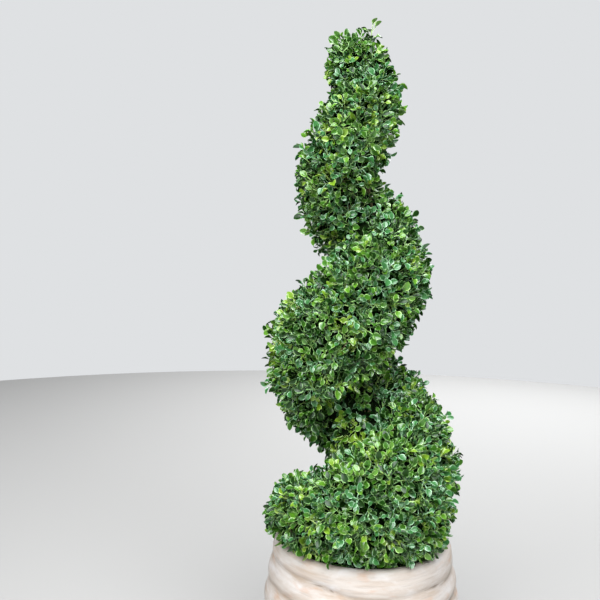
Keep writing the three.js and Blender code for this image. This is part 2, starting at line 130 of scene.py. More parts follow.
def principled(
    name: str, roughness: float, gloss: float = PLAIN_GLOSS
) -> tuple[bpy.types.Material, bpy.types.Node]:
    """Starts a material from its one Principled shader.

    Args:
        name: Name of the material.
        roughness: Roughness of the shader.
        gloss: Specular level of the shader.

    Returns:
        The material and its Principled node.
    """
    material = bpy.data.materials.new(name)
    material.use_nodes = True
    shader = next(node for node in material.node_tree.nodes if node.type == "BSDF_PRINCIPLED")
    shader.inputs["Roughness"].default_value = roughness
    shader.inputs["Specular IOR Level"].default_value = gloss
    return material, shader


def plain_material(
    name: str, colour: str, roughness: float, gloss: float = PLAIN_GLOSS
) -> bpy.types.Material:
    """Makes a material of one plain colour.

    Args:
        name: Name of the material.
        colour: Its colour as "#rrggbb".
        roughness: Roughness of the shader.
        gloss: Specular level of the shader.

    Returns:
        The material.
    """
    material, shader = principled(name, roughness, gloss)
    shader.inputs["Base Color"].default_value = linear(colour)
    return material


class Surface(Enum):
    """Float attributes that the clay mesh carries for its finish."""

    HOLLOW = "hollow"
    INSIDE = "inside"


@dataclass(frozen=True)
class Marks:
    """Cloudy marks of a real size, flattened where `stretch` is over 1 and moved by `shift`."""

    size: float
    detail: float
    roughness: float = 0.5
    swirl: float = 0.0
    stretch: float = 1.0
    shift: tuple[float, float, float] = (0.0, 0.0, 0.0)


@dataclass(frozen=True)
class Coat:
    """A colour that comes up to its full strength while its mask goes from `low` to `high`."""

    colour: str
    low: float = 0.0
    high: float = 1.0
    most: float = 1.0


class CoatedMaterial:
    """A material under way, with coats laid one over another."""

    def __init__(self, name: str, base: str, roughness: float, gloss: float = PLAIN_GLOSS) -> None:
        """Starts the material.

        Args:
            name: Name of the material.
            base: Colour under all the coats.
            roughness: Roughness of the shader.
            gloss: Specular level of the shader.
        """
        self.material, self.shader = principled(name, roughness, gloss)
        self.tree = self.material.node_tree
        self.place = add_node(self.tree, "ShaderNodeTexCoord").outputs["Object"]
        self.colour = linear(base)

    def marks(self, pattern: Marks) -> bpy.types.NodeSocket:
        """Adds a pattern and returns its socket, which runs from about 0 to 1."""
        mapping = {"Location": pattern.shift, "Scale": (1, 1, pattern.stretch)}
        mapped = add_node(self.tree, "ShaderNodeMapping", mapping, {"Vector": self.place})
        settings = {
            "Scale": 1 / (pattern.size * MM),
            "Detail": pattern.detail,
            "Roughness": pattern.roughness,
            "Distortion": pattern.swirl,
        }
        links = {"Vector": mapped.outputs["Vector"]}
        return add_node(self.tree, "ShaderNodeTexNoise", settings, links).outputs["Fac"]

    def attribute(self, surface: Surface) -> bpy.types.NodeSocket:
        """Adds one of the mesh's attributes and returns its socket."""
        settings = {"attribute_name": surface.value}
        return add_node(self.tree, "ShaderNodeAttribute", settings).outputs["Fac"]

    def joined(
        self, operation: str, first: bpy.types.NodeSocket, second: bpy.types.NodeSocket
    ) -> bpy.types.NodeSocket:
        """Adds or multiplies two values.

        Args:
            operation: "ADD" or "MULTIPLY".
            first: Socket of one value.
            second: Socket of the other.

        Returns:
            Socket of the result.
        """
        settings, links = {"operation": operation}, {0: first, 1: second}
        return add_node(self.tree, "ShaderNodeMath", settings, links).outputs["Value"]

    def lay(self, coat: Coat, mask: bpy.types.NodeSocket) -> None:
        """Lays a coat over what is there, by a mask's value."""
        limits = {"From Min": coat.low, "From Max": coat.high, "To Max": coat.most}
        strength = add_node(self.tree, "ShaderNodeMapRange", limits, {"Value": mask})
        settings = {"data_type": "RGBA", MIX_B: linear(coat.colour)}
        links = {MIX_FACTOR: strength.outputs["Result"]}
        (settings if isinstance(self.colour, tuple) else links)[MIX_A] = self.colour
        self.colour = add_node(self.tree, "ShaderNodeMix", settings, links).outputs[MIX_RESULT]
        self.tree.links.new(self.colour, self.shader.inputs["Base Color"])

    def emboss(self, height: bpy.types.NodeSocket, strength: float, depth: float) -> None:
        """Roughens the surface by a value.

        Args:
            height: Socket of the value.
            strength: How far the light follows it, 0 to 1.
            depth: Real depth of the relief in millimetres.
        """
        settings = {"Strength": strength, "Distance": depth * MM}
        bump = add_node(self.tree, "ShaderNodeBump", settings, {"Height": height})
        self.tree.links.new(bump.outputs["Normal"], self.shader.inputs["Normal"])


@dataclass(frozen=True)
class WhitewashedTerracotta:
    """Thrown terracotta under a brushed lime wash.

    The wash is matt and chalky. It lies thick on the crowns of the ridges and thin at their
    edges, where warm clay shows, and dust has settled in the valleys, which reads as brown
    broken lines. The unwashed clay inside the mouth is darker and greyer, partly as painted shade.
    """

    wash: str = "#c8bfb6"
    thin_wash: Coat = Coat("#b7a594", 0.42, 0.68, 0.8)
    grey_wash: Coat = Coat("#aaa098", 0.54, 0.72, 0.6)
    lime: Coat = Coat("#d5d1ce", 0.5, 0.72, 0.8)
    peach: Coat = Coat("#c29a7b", 0.57, 0.76, 0.6)
    dust: Coat = Coat("#9a8670", 0.2, 0.62, 0.6)
    crack: Coat = Coat("#6d5e4f", 0.48, 0.62, 0.7)
    # Unwashed clay inside the mouth, darkened further as painted shade.
    bare: Coat = Coat("#77685b")
    streaks: Marks = Marks(64.0, 6.0, 0.55, 0.3, stretch=8.0)
    bristles: Marks = Marks(40.0, 3.0, 0.5, 0.3, stretch=15.0)
    patches: Marks = Marks(42.0, 4.0, 0.55, 0.4, stretch=2.4)
    blushes: Marks = Marks(33.6, 3.0, stretch=3.0, shift=(0.7, 0.3, 0.9))
    grain: Marks = Marks(1.4, 3.0, 0.7)
    bump_strength: float = 0.55
    bump_height: float = 0.5
    roughness: float = 0.92
    gloss: float = 0.25

    def material(self) -> bpy.types.Material:
        """Builds the node material and returns it."""
        clay = CoatedMaterial("whitewashed_terracotta", self.wash, self.roughness, self.gloss)
        # Brush strokes run round the pot, so their marks are drawn out sideways.
        streaks, patches = clay.marks(self.streaks), clay.marks(self.patches)
        clay.lay(self.thin_wash, streaks)
        clay.lay(self.grey_wash, clay.marks(self.bristles))
        clay.lay(self.lime, patches)
        clay.lay(self.peach, clay.marks(self.blushes))
        # Dust lies in the valleys and breaks up where the streaks are light.
        hollow = clay.attribute(Surface.HOLLOW)
        clay.lay(self.dust, clay.joined("MULTIPLY", hollow, streaks))
        clay.lay(self.crack, clay.joined("MULTIPLY", hollow, patches))
        # Inside the mouth the clay is unwashed and darker, partly as painted shade on the lip's
        # inner slope and the wall.
        clay.lay(self.bare, clay.attribute(Surface.INSIDE))
        relief = clay.joined("ADD", streaks, clay.marks(self.grain))
        clay.emboss(relief, self.bump_strength, self.bump_height)
        return clay.material


@dataclass(frozen=True)
class PottingSoil:
    """Damp peat compost: fibrous crumbs, almost black between them, dull on every face."""

    peat: str = "#2b2019"
    crumb: Coat = Coat("#4a3a2c", 0.4, 0.7)
    crumbs: Marks = Marks(3.5, 5.0, 0.7)
    bump_strength: float = 0.8
    bump_height: float = 1.75
    roughness: float = 0.97
    gloss: float = 0.2

    def material(self) -> bpy.types.Material:
        """Builds the node material and returns it."""
        soil = CoatedMaterial("potting_soil", self.peat, self.roughness, self.gloss)
        crumbs = soil.marks(self.crumbs)
        soil.lay(self.crumb, crumbs)
        soil.emboss(crumbs, self.bump_strength, self.bump_height)
        return soil.material


@dataclass(frozen=True)
class BoxBark:
    """Box bark: pale grey-brown cork split into small upright plates, with darker splits."""

    split: str = "#4b3d2e"
    plate: Coat = Coat("#8a7860", 0.38, 0.6)
    plates: Marks = Marks(5.0, 5.0, 0.6, stretch=0.35)
    bump_strength: float = 0.7
    bump_height: float = 0.8
    roughness: float = 0.88

    def material(self) -> bpy.types.Material:
        """Builds the node material and returns it."""
        bark = CoatedMaterial("box_bark", self.split, self.roughness)
        plates = bark.marks(self.plates)
        bark.lay(self.plate, plates)
        bark.emboss(plates, self.bump_strength, self.bump_height)
        return bark.material


@dataclass(frozen=True)
class ShadedThicket:
    """The dense inside of a clipped box: its leaves and twigs drawn only as a near-black mottle,
    which is painted shade.
    """

    # Both colours are painted shade, far darker than lit box leaves.
    shade: str = "#071302"
    leaf: Coat = Coat("#15280a", 0.45, 0.6)
    mottle: Marks = Marks(9.0, 3.0)
    roughness: float = 0.9
    gloss: float = 0.1

    def material(self) -> bpy.types.Material:
        """Builds the node material and returns it."""
        thicket = CoatedMaterial("shaded_thicket", self.shade, self.roughness, self.gloss)
        thicket.lay(self.leaf, thicket.marks(self.mottle))
        return thicket.material


@dataclass(frozen=True)
class BoxLeaf:
    """Leathery box leaf: a waxy green blade that mirrors the sky, in a thin paler margin.

    The two colours are plain, because a leaf is only a few faces; the gloss gives the rest; the
    margin's pale mint is partly painted highlight.
    """

    name: str
    blade: str
    margin: str
    share: float = 0.0
    roughness: float = 0.28
    gloss: float = 0.85

    def materials(self) -> list[bpy.types.Material]:
        """Builds the blade's material and the margin's and returns them."""
        return [
            plain_material(f"box_{part}_{self.name}", colour, self.roughness, self.gloss)
            for part, colour in (("blade", self.blade), ("margin", self.margin))
        ]


class Tone(Enum):
    """Leaf tones that are dealt out by spray, from old shaded growth to this year's tips."""

    # Second colours are the margins and stalks: paler green, pushed to pale mint partly as painted
    # highlight.
    DEEP = BoxLeaf("deep", "#173c06", "#7faa66", 0.32, 0.38, 0.5)
    BLUE = BoxLeaf("blue", "#3e783e", "#a8d4a8", 0.22)
    MID = BoxLeaf("mid", "#3b6c18", "#9cc977", 0.25)
    FRESH = BoxLeaf("fresh", "#598d22", "#b3d884", 0.16)
    YELLOW = BoxLeaf("yellow", "#789f28", "#c2dd7c", 0.05)


# Leaves deep in the sprays: old growth, painted a near-black, almost matt green as painted shade in
# the gaps.
OLD_LEAF_PAINTED_SHADE = BoxLeaf("old", "#0d2404", "#26440f", roughness=0.6, gloss=0.04)


@dataclass(frozen=True)
class TwigSkin:
    """Young box wood: smooth green shoots that age to olive brown, with a faint sheen."""

    wood: str = "#6d6442"
    shoot: str = "#8cab58"
    roughness: float = 0.55

    def materials(self) -> list[bpy.types.Material]:
        """Builds the material of old wood and that of young shoots and returns them."""
        return [
            plain_material(name, colour, self.roughness)
            for name, colour in (("box_wood", self.wood), ("box_shoot", self.shoot))
        ]


def linked_object(name: str, data: bpy.types.ID) -> bpy.types.Object:
    """Makes an object from its data and puts it in the scene."""
    item = bpy.data.objects.new(name, data)
    bpy.context.collection.objects.link(item)
    return item


def finished_object(
    name: str,
    mesh: bpy.types.Mesh,
    materials: list[bpy.types.Material],
    replaced: tuple[str, ...],
) -> bpy.types.Object:
    """Puts a mesh in the scene as a piece that rides on the plant's one body.

    Args:
        name: Name of the piece.
        mesh: Its mesh, in metres, in the place where it belongs.
        materials: Its materials in slot order.
        replaced: The CAD nodes that it stands for.

    Returns:
        The new object.
    """
    piece = linked_object(name, mesh)
    for material in materials:
        mesh.materials.append(material)
    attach(piece, BODY)
    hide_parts(*replaced)
    LOG.info("%s: %d faces", name, len(mesh.polygons))
    return piece


def mesh_from(name: str, shape: bmesh.types.BMesh, smooth: bool = True) -> bpy.types.Mesh:
    """Turns a finished bmesh into a mesh and frees it.

    Args:
        name: Name of the mesh.
        shape: The bmesh, in metres.
        smooth: True for smooth shading.

    Returns:
        The new mesh.
    """
    mesh = bpy.data.meshes.new(name)
    shape.to_mesh(mesh)
    shape.free()
    mesh.polygons.foreach_set("use_smooth", [smooth] * len(mesh.polygons))
    return mesh


def smoothstep(value: float, low: float, high: float) -> float:
    """Rises smoothly from 0 at `low` to 1 at `high`."""
    t = min(1.0, max(0.0, (value - low) / (high - low)))
    return t * t * (3 - 2 * t)


def spun(outline: list[tuple[float, float]], steps: int, closed: bool = False) -> bmesh.types.BMesh:
    """Spins an outline round the upright axis into a closed body.

    Args:
        outline: Points of radius and height in millimetres, both ends on the axis unless closed.
        steps: Number of facets round the body.
        closed: True where the outline's last point joins its first, clear of the axis.

    Returns:
        The body as a bmesh in metres, its faces pointing outwards.
    """
    shape = bmesh.new()
    verts = [shape.verts.new((radius * MM, 0, height * MM)) for radius, height in outline]
    following = verts[1:] + verts[:1] if closed else verts[1:]
    edges = [shape.edges.new(pair) for pair in zip(verts, following)]
    bmesh.ops.spin(
        shape,
        geom=verts + edges,
        cent=(0, 0, 0),
        axis=(0, 0, 1),
        angle=2 * math.pi,
        steps=steps,
        use_merge=True,
    )
    bmesh.ops.remove_doubles(shape, verts=shape.verts, dist=0.01 * MM)
    bmesh.ops.recalc_face_normals(shape, faces=shape.faces)
    return shape


@dataclass(frozen=True)
class Waver:
    """Noise round an upright body: how fast it changes round it, and how far up one change is."""

    rate: float
    run: float
    x: float = 0.0
    y: float = 0.0

    def at(self, around: Vector, height: float) -> float:
        """Reads the noise, about -1 to 1.

        Args:
            around: Level unit vector from the body's axis to the place.
            height: Millimetres along the axis.

        Returns:
            The noise there.
        """
        return noise.noise(around * self.rate + Vector((self.x, self.y, height / self.run)))


@dataclass
class ClayPot:
    """A barrel-shaped pot with hand-thrown ridges, a rounded lip and a flat foot."""

    lip_radius: float = 124.0
    belly_radius: float = 145.0
    foot_radius: float = 104.0
    wall: float = 18.0
    floor: float = 20.0
    ridge_pitch: float = 33.0
    ridge_depth: float = 5.0
    ridge_skew: float = 1.35
    ridge_fullness: float = 0.75
    ridge_drift: float = 8.0
    drift_noise: Waver = Waver(1.17, 65.385)
    ridge_waver: float = 2.2
    waver_noise: Waver = Waver(3.1, 40.0, 7.0, 3.0)
    ridge_even: float = 0.8
    ridge_uneven: float = 0.5
    ridge_noise: Waver = Waver(1.2, 30.0, y=5.0)
    lump_depth: float = 1.3
    lump_noise: Waver = Waver(4.2, 26.0, x=2.0)
    first_groove: float = 28.0
    bulge_from: tuple[float, float] = (10.0, 40.0)
    bare_from: tuple[float, float] = (2.0, 9.0)
    smooth_lip: tuple[float, float] = (8.0, 24.0)
    smooth_foot: float = 8.0
    lip_groove_place: float = 11.0
    lip_groove_width: float = 1.8
    lip_groove_depth: float = 0.9
    soil_below_lip: float = 30.0
    steps: int = 176
    row: float = 2.75
    inner_rows: int = 16
    lip_step: int = 20
    foot_bevel: float = 2.0
    height: float = field(init=False)

    def __post_init__(self) -> None:
        """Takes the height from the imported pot."""
        self.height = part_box("pot")[1].z / MM

    def crest_line(self) -> list[tuple[float, float]]:
        """Points of depth below the lip and radius that the ridges' crests lie on."""
        return [
            (0.0, self.lip_radius),
            (45.0, self.lip_radius + 9),
            (100.0, self.belly_radius - 4),
            (152.0, self.belly_radius),
            (190.0, self.belly_radius - 3),
            (226.0, self.belly_radius - 15),
            (self.height, self.foot_radius),
        ]

    def crest_radius(self, depth: float) -> float:
        """Radius of the crest line at a depth, on a smooth curve through its points.

        Args:
            depth: Millimetres below the top of the lip.

        Returns:
            The radius in millimetres.
        """
        points = self.crest_line()
        depth = min(max(depth, 0.0), self.height)
        i = next(k for k in range(len(points) - 1) if depth <= points[k + 1][0])
        (d0, r0), (d1, r1) = points[i], points[i + 1]
        before = points[i - 1] if i else points[i]
        after = points[i + 2] if i + 2 < len(points) else points[i + 1]
        slope0 = (r1 - before[1]) / (d1 - before[0])
        slope1 = (after[1] - r0) / (after[0] - d0)
        span = d1 - d0
        t = (depth - d0) / span
        return (
            r0 * (1 + 2 * t) * (1 - t) ** 2
            + slope0 * span * t * (1 - t) ** 2
            + r1 * t * t * (3 - 2 * t)
            + slope1 * span * t * t * (t - 1)
        )

    def inner_radius(self, depth: float) -> float:
        """Radius of the inner wall at a depth, both in millimetres."""
        inwards = self.ridge_depth * smoothstep(depth, *self.bulge_from)
        return self.crest_radius(depth) - self.wall - inwards

    def outline(self) -> list[tuple[float, float]]:
        """Radius and height along the pot's section, from the floor's middle to the foot's."""
        lip_round = self.wall / 2
        points = [(0.0, self.floor), (self.inner_radius(self.height) / 2, self.floor)]
        for k in range(self.inner_rows + 1):
            rise = (lip_round + self.floor - self.height) * k / self.inner_rows
            depth = self.height - self.floor + rise
            points.append((self.inner_radius(depth), self.height - depth))
        for turn in range(self.lip_step, 180, self.lip_step):
            angle = math.radians(turn)
            radius = self.lip_radius - lip_round - lip_round * math.cos(angle)
            points.append((radius, self.height - lip_round + lip_round * math.sin(angle)))
        rows = round((self.height - lip_round) / self.row)
        for k in range(rows):
            depth = lip_round + (self.height - self.foot_bevel - lip_round) * k / (rows - 1)
            points.append((self.crest_radius(depth), self.height - depth))
        foot = (self.foot_radius - self.foot_bevel, self.foot_radius / 2, 0.0)
        return points + [(radius, 0.0) for radius in foot]

    def relief(self, angle: float, depth: float) -> tuple[float, float]:
        """How deep the thrown ridges cut in at a place on the outside.

        Args:
            angle: Radians round the pot.
            depth: Millimetres below the lip.

        Returns:
            The depth cut in, in millimetres, and how far down in a valley the place is, 0 to 1.
        """
        around = Vector((math.cos(angle), math.sin(angle), 0))
        drift = self.ridge_drift * self.drift_noise.at(around, depth)
        drift += self.ridge_waver * self.waver_noise.at(around, depth)
        place = ((depth - self.first_groove + drift) / self.ridge_pitch) % 1.0
        valley = 1 - math.sin(math.pi * place**self.ridge_skew) ** self.ridge_fullness
        foot = 1 - smoothstep(depth, self.height - self.smooth_foot, self.height)
        fade = smoothstep(depth, *self.smooth_lip) * foot
        depth_share = self.ridge_even + self.ridge_uneven * self.ridge_noise.at(around, depth)
        ridge = self.ridge_depth * valley * depth_share
        lump = self.lump_depth * (0.5 + 0.5 * self.lump_noise.at(around, depth))
        lip_groove = math.exp(-(((depth - self.lip_groove_place) / self.lip_groove_width) ** 2))
        cut = fade * (ridge + lump) + self.lip_groove_depth * lip_groove
        return max(0.0, cut), max(fade * valley, lip_groove / 2)

    def mesh(self) -> bpy.types.Mesh:
        """Spins the pot, works the ridges into its outside and marks where the finish changes."""
        shape = spun(self.outline(), self.steps)
        hollow = shape.verts.layers.float.new(Surface.HOLLOW.value)
        inside = shape.verts.layers.float.new(Surface.INSIDE.value)
        for vert in shape.verts:
            radius = math.hypot(vert.co.x, vert.co.y) / MM
            depth = self.height - vert.co.z / MM
            if radius < 1 or depth > self.height - 1:
                continue
            if radius > self.crest_radius(depth) - self.wall / 2:
                cut, vert[hollow] = self.relief(math.atan2(vert.co.y, vert.co.x), depth)
                vert.co.xy *= (radius - cut) / radius
            else:
                # Inside the mouth, from just under the lip: unwashed clay, darkened further as
                # painted shade.
                vert[inside] = smoothstep(depth, *self.bare_from)
        return mesh_from("clay_pot", shape)

    def build(self, finish: WhitewashedTerracotta) -> bpy.types.Object:
        """Makes the pot, dressed in its finish."""
        return finished_object("clay_pot", self.mesh(), [finish.material()], ("pot",))


@dataclass
class SoilBed:
    """Compost filling the pot to below its lip: a lumpy bed with loose crumbs on it."""

    pot: ClayPot
    clear: float = 0.7
    foot_clear: float = 2.0
    rows: int = 8
    rings: int = 34
    steps: int = 96
    lump_size: float = 16.0
    lump_height: float = 2.2
    lump_share: float = 0.6
    finer: float = 2.7
    finer_share: float = 0.5
    crumbs: int = 620
    crumb_sizes: tuple[float, float] = (0.9, 2.6)
    crumb_stretch: tuple[float, float] = (0.7, 1.2)
    crumb_clear: float = 1.0
    seed: int = 5

    @property
    def top(self) -> float:
        """Height of the bed between its lumps, in millimetres."""
        return self.pot.height - self.pot.soil_below_lip - self.lump_height

    def surface(self, x: float, y: float) -> float:
        """Height of the bed at a place, in millimetres."""
        place = Vector((x, y, 0)) / self.lump_size
        lumps = noise.noise(place) + self.finer_share * noise.noise(place * self.finer)
        return self.top + self.lump_height * self.lump_share * lumps

    def build(self, finish: PottingSoil) -> bpy.types.Object:
        """Makes the bed and its crumbs, dressed in their finish."""
        pot = self.pot
        edge = pot.inner_radius(pot.height - self.top) - self.clear
        floor = pot.floor + self.clear / 2
        outline = [(0.0, floor), (pot.inner_radius(pot.height - pot.floor) - self.foot_clear, floor)]
        for k in range(1, self.rows):
            height = floor + (self.top - floor) * k / self.rows
            outline.append((pot.inner_radius(pot.height - height) - self.clear, height))
        outline += [(edge * (1 - k / self.rings), self.top) for k in range(self.rings + 1)]
        shape = spun(outline, self.steps)
        for vert in shape.verts:
            if vert.co.z > (self.top - 1) * MM:
                vert.co.z = self.surface(vert.co.x / MM, vert.co.y / MM) * MM
        self.scatter(shape, edge)
        mesh = mesh_from("soil_bed", shape)
        return finished_object("soil_bed", mesh, [finish.material()], ("soil",))

    def scatter(self, shape: bmesh.types.BMesh, edge: float) -> None:
        """Drops loose crumbs on the bed.

        Args:
            shape: The bed's bmesh, which gets the crumbs.
            edge: Radius of the bed in millimetres.
        """
        random = np.random.default_rng(self.seed)
        for _ in range(self.crumbs):
            size = random.uniform(*self.crumb_sizes)
            radius = (edge - size - self.crumb_clear) * math.sqrt(random.uniform())
            angle = random.uniform(0, 2 * math.pi)
            x, y = radius * math.cos(angle), radius * math.sin(angle)
            turn = Matrix.Rotation(random.uniform(0, math.pi), 4, Vector(random.normal(size=3)))
            stretch = Matrix.Diagonal((*random.uniform(*self.crumb_stretch, 3), 1))
            matrix = Matrix.Translation(Vector((x, y, self.surface(x, y))) * MM) @ turn @ stretch
            bmesh.ops.create_icosphere(shape, subdivisions=1, radius=size * MM, matrix=matrix)


@dataclass
class Stem:
    """The one woody stem: planted off centre, leaning, flared at its foot."""

    foot_x: float = -13.0
    lean: float = -9.0
    bend: float = 2.0
    flare_radius: float = 17.0
    radius: float = 10.5
    tip_radius: float = 2.6
    flare_height: float = 34.0
    foot: float = 225.0
    crown_cut: float = 904.0
    sides: int = 26
    row: float = 5.0
    bark_depth: float = 0.9
    bark_even: float = 0.7
    split_share: float = 0.8
    split_noise: Waver = Waver(3.2, 22.0)
    fluting_share: float = 0.9
    fluting_noise: Waver = Waver(1.4, 90.0)
    smooth_end: float = 3.0

    def centre(self, z: np.ndarray) -> np.ndarray:
        """Centres of the stem at heights above the ground.

        Args:
            z: Heights in millimetres.

        Returns:
            Places in millimetres, one row for each height.
        """
        z = np.asarray(z, float)
        rise = (z - self.foot) / (self.crown_cut - self.foot)
        swing = self.bend * np.sin(2 * np.pi * rise)
        return np.stack([self.foot_x + self.lean * rise + swing / 2, swing, z], axis=-1)

    def radius_at(self, z: np.ndarray) -> np.ndarray:
        """Radii of the stem at heights above the ground, all in millimetres."""
        above = np.asarray(z, float) - self.foot
        rise = above / (self.crown_cut - self.foot)
        flare = (self.flare_radius - self.radius) * np.exp(-3 * above / self.flare_height)
        return self.radius + (self.tip_radius - self.radius) * rise + flare

    def build(self, finish: BoxBark) -> bpy.types.Object:
        """Makes the stem by drawing a ring up its line, with bark plates worked into it."""
        low, high = (corner.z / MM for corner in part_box("trunk"))
        rows = round((high - low) / self.row)
        heights = [low + (high - low) * k / rows for k in range(rows + 1)]
        shape = bmesh.new()
        bmesh.ops.create_circle(
            shape,
            cap_ends=True,
            radius=float(self.radius_at(low)) * MM,
            segments=self.sides,
            matrix=Matrix.Translation(Vector(self.centre(low)) * MM),
        )
        edges = list(shape.edges)
        for before, height in zip(heights, heights[1:]):
            grown = bmesh.ops.extrude_edge_only(shape, edges=edges)["geom"]
            ring = [item for item in grown if isinstance(item, bmesh.types.BMVert)]
            edges = [item for item in grown if isinstance(item, bmesh.types.BMEdge)]
            old, new = (Vector(self.centre(z)) * MM for z in (before, height))
            scale = float(self.radius_at(height) / self.radius_at(before))
            for vert in ring:
                vert.co = new + ((vert.co - old) * scale).xy.to_3d()
        bmesh.ops.holes_fill(shape, edges=edges, sides=self.sides)
        self.carve(shape, low, high)
        bmesh.ops.recalc_face_normals(shape, faces=shape.faces)
        mesh = mesh_from("stem_bark", shape)
        return finished_object("stem_bark", mesh, [finish.material()], ("trunk",))

    def carve(self, shape: bmesh.types.BMesh, low: float, high: float) -> None:
        """Sinks the splits between the bark's plates.

        Args:
            shape: The stem's bmesh.
            low: Height of its foot in millimetres.
            high: Height of its tip in millimetres.
        """
        for vert in shape.verts:
            height = vert.co.z / MM
            centre = Vector(self.centre(height)) * MM
            around = (vert.co - centre).normalized()
            split = self.split_share * self.split_noise.at(around, height)
            fluting = self.fluting_share * self.fluting_noise.at(around, height)
            taper = min(1.0, float(self.radius_at(height)) / self.radius)
            edge = smoothstep(height, low, low + self.smooth_end)
            edge *= 1 - smoothstep(height, high - self.smooth_end, high)
            cut = edge * taper * self.bark_depth * (self.bark_even + split + fluting)
            vert.co -= around * max(0.0, cut) * MM


def along(values: tuple[float, float, float], t: np.ndarray) -> np.ndarray:
    """Parabola through three values at the start, middle and end of 0 to 1."""
    start, middle, end = values
    return start * (1 - t) * (1 - 2 * t) + middle * 4 * t * (1 - t) + end * t * (2 * t - 1)


@dataclass
class StrandSection:
    """Cross-sections of the strand: angles, heights above the lip, orbits and half sizes."""

    angle: np.ndarray
    height: np.ndarray
    orbit: np.ndarray
    width: np.ndarray
    tall: np.ndarray


@dataclass(frozen=True)
class Strand:
    """The thick strand of foliage that winds up the stem, with a tail tucked in at its foot."""

    start: float = 228.0
    sweep: float = 919.0
    step: float = 7.5
    foot: float = -11.0
    head: float = 653.0
    ease: float = 0.26
    orbit: tuple[float, float, float] = (102.0, 42.0, 10.0)
    width: tuple[float, float, float] = (58.0, 64.0, 48.0)
    tall: tuple[float, float, float] = (122.0, 84.0, 50.0)
    tail_sweep: float = 90.0
    tail_rise: float = 7.0
    tail_inwards: float = 73.0
    tail_wider: float = 1.0
    tail_shorter: float = 54.0

    def at(self, angle: np.ndarray) -> StrandSection:
        """Cross-sections of the strand at angles."""
        angle = np.asarray(angle, float)
        t = np.maximum(0, (angle - self.start) / self.sweep)
        eased = t + self.ease * t * (1 - t)
        tail = np.maximum(0, (self.start - angle) / self.tail_sweep)
        return StrandSection(
            angle=angle,
            height=self.foot + (self.head - self.foot) * eased + self.tail_rise * tail,
            orbit=along(self.orbit, t) - self.tail_inwards * tail,
            width=along(self.width, t) + self.tail_wider * tail,
            tall=along(self.tall, t) - self.tail_shorter * tail,
        )

    def sections(self) -> StrandSection:
        """Cross-sections all the way up the strand."""
        count = round((self.sweep + self.tail_sweep) / self.step)
        return self.at(self.start - self.tail_sweep + self.step * np.arange(count + 1))


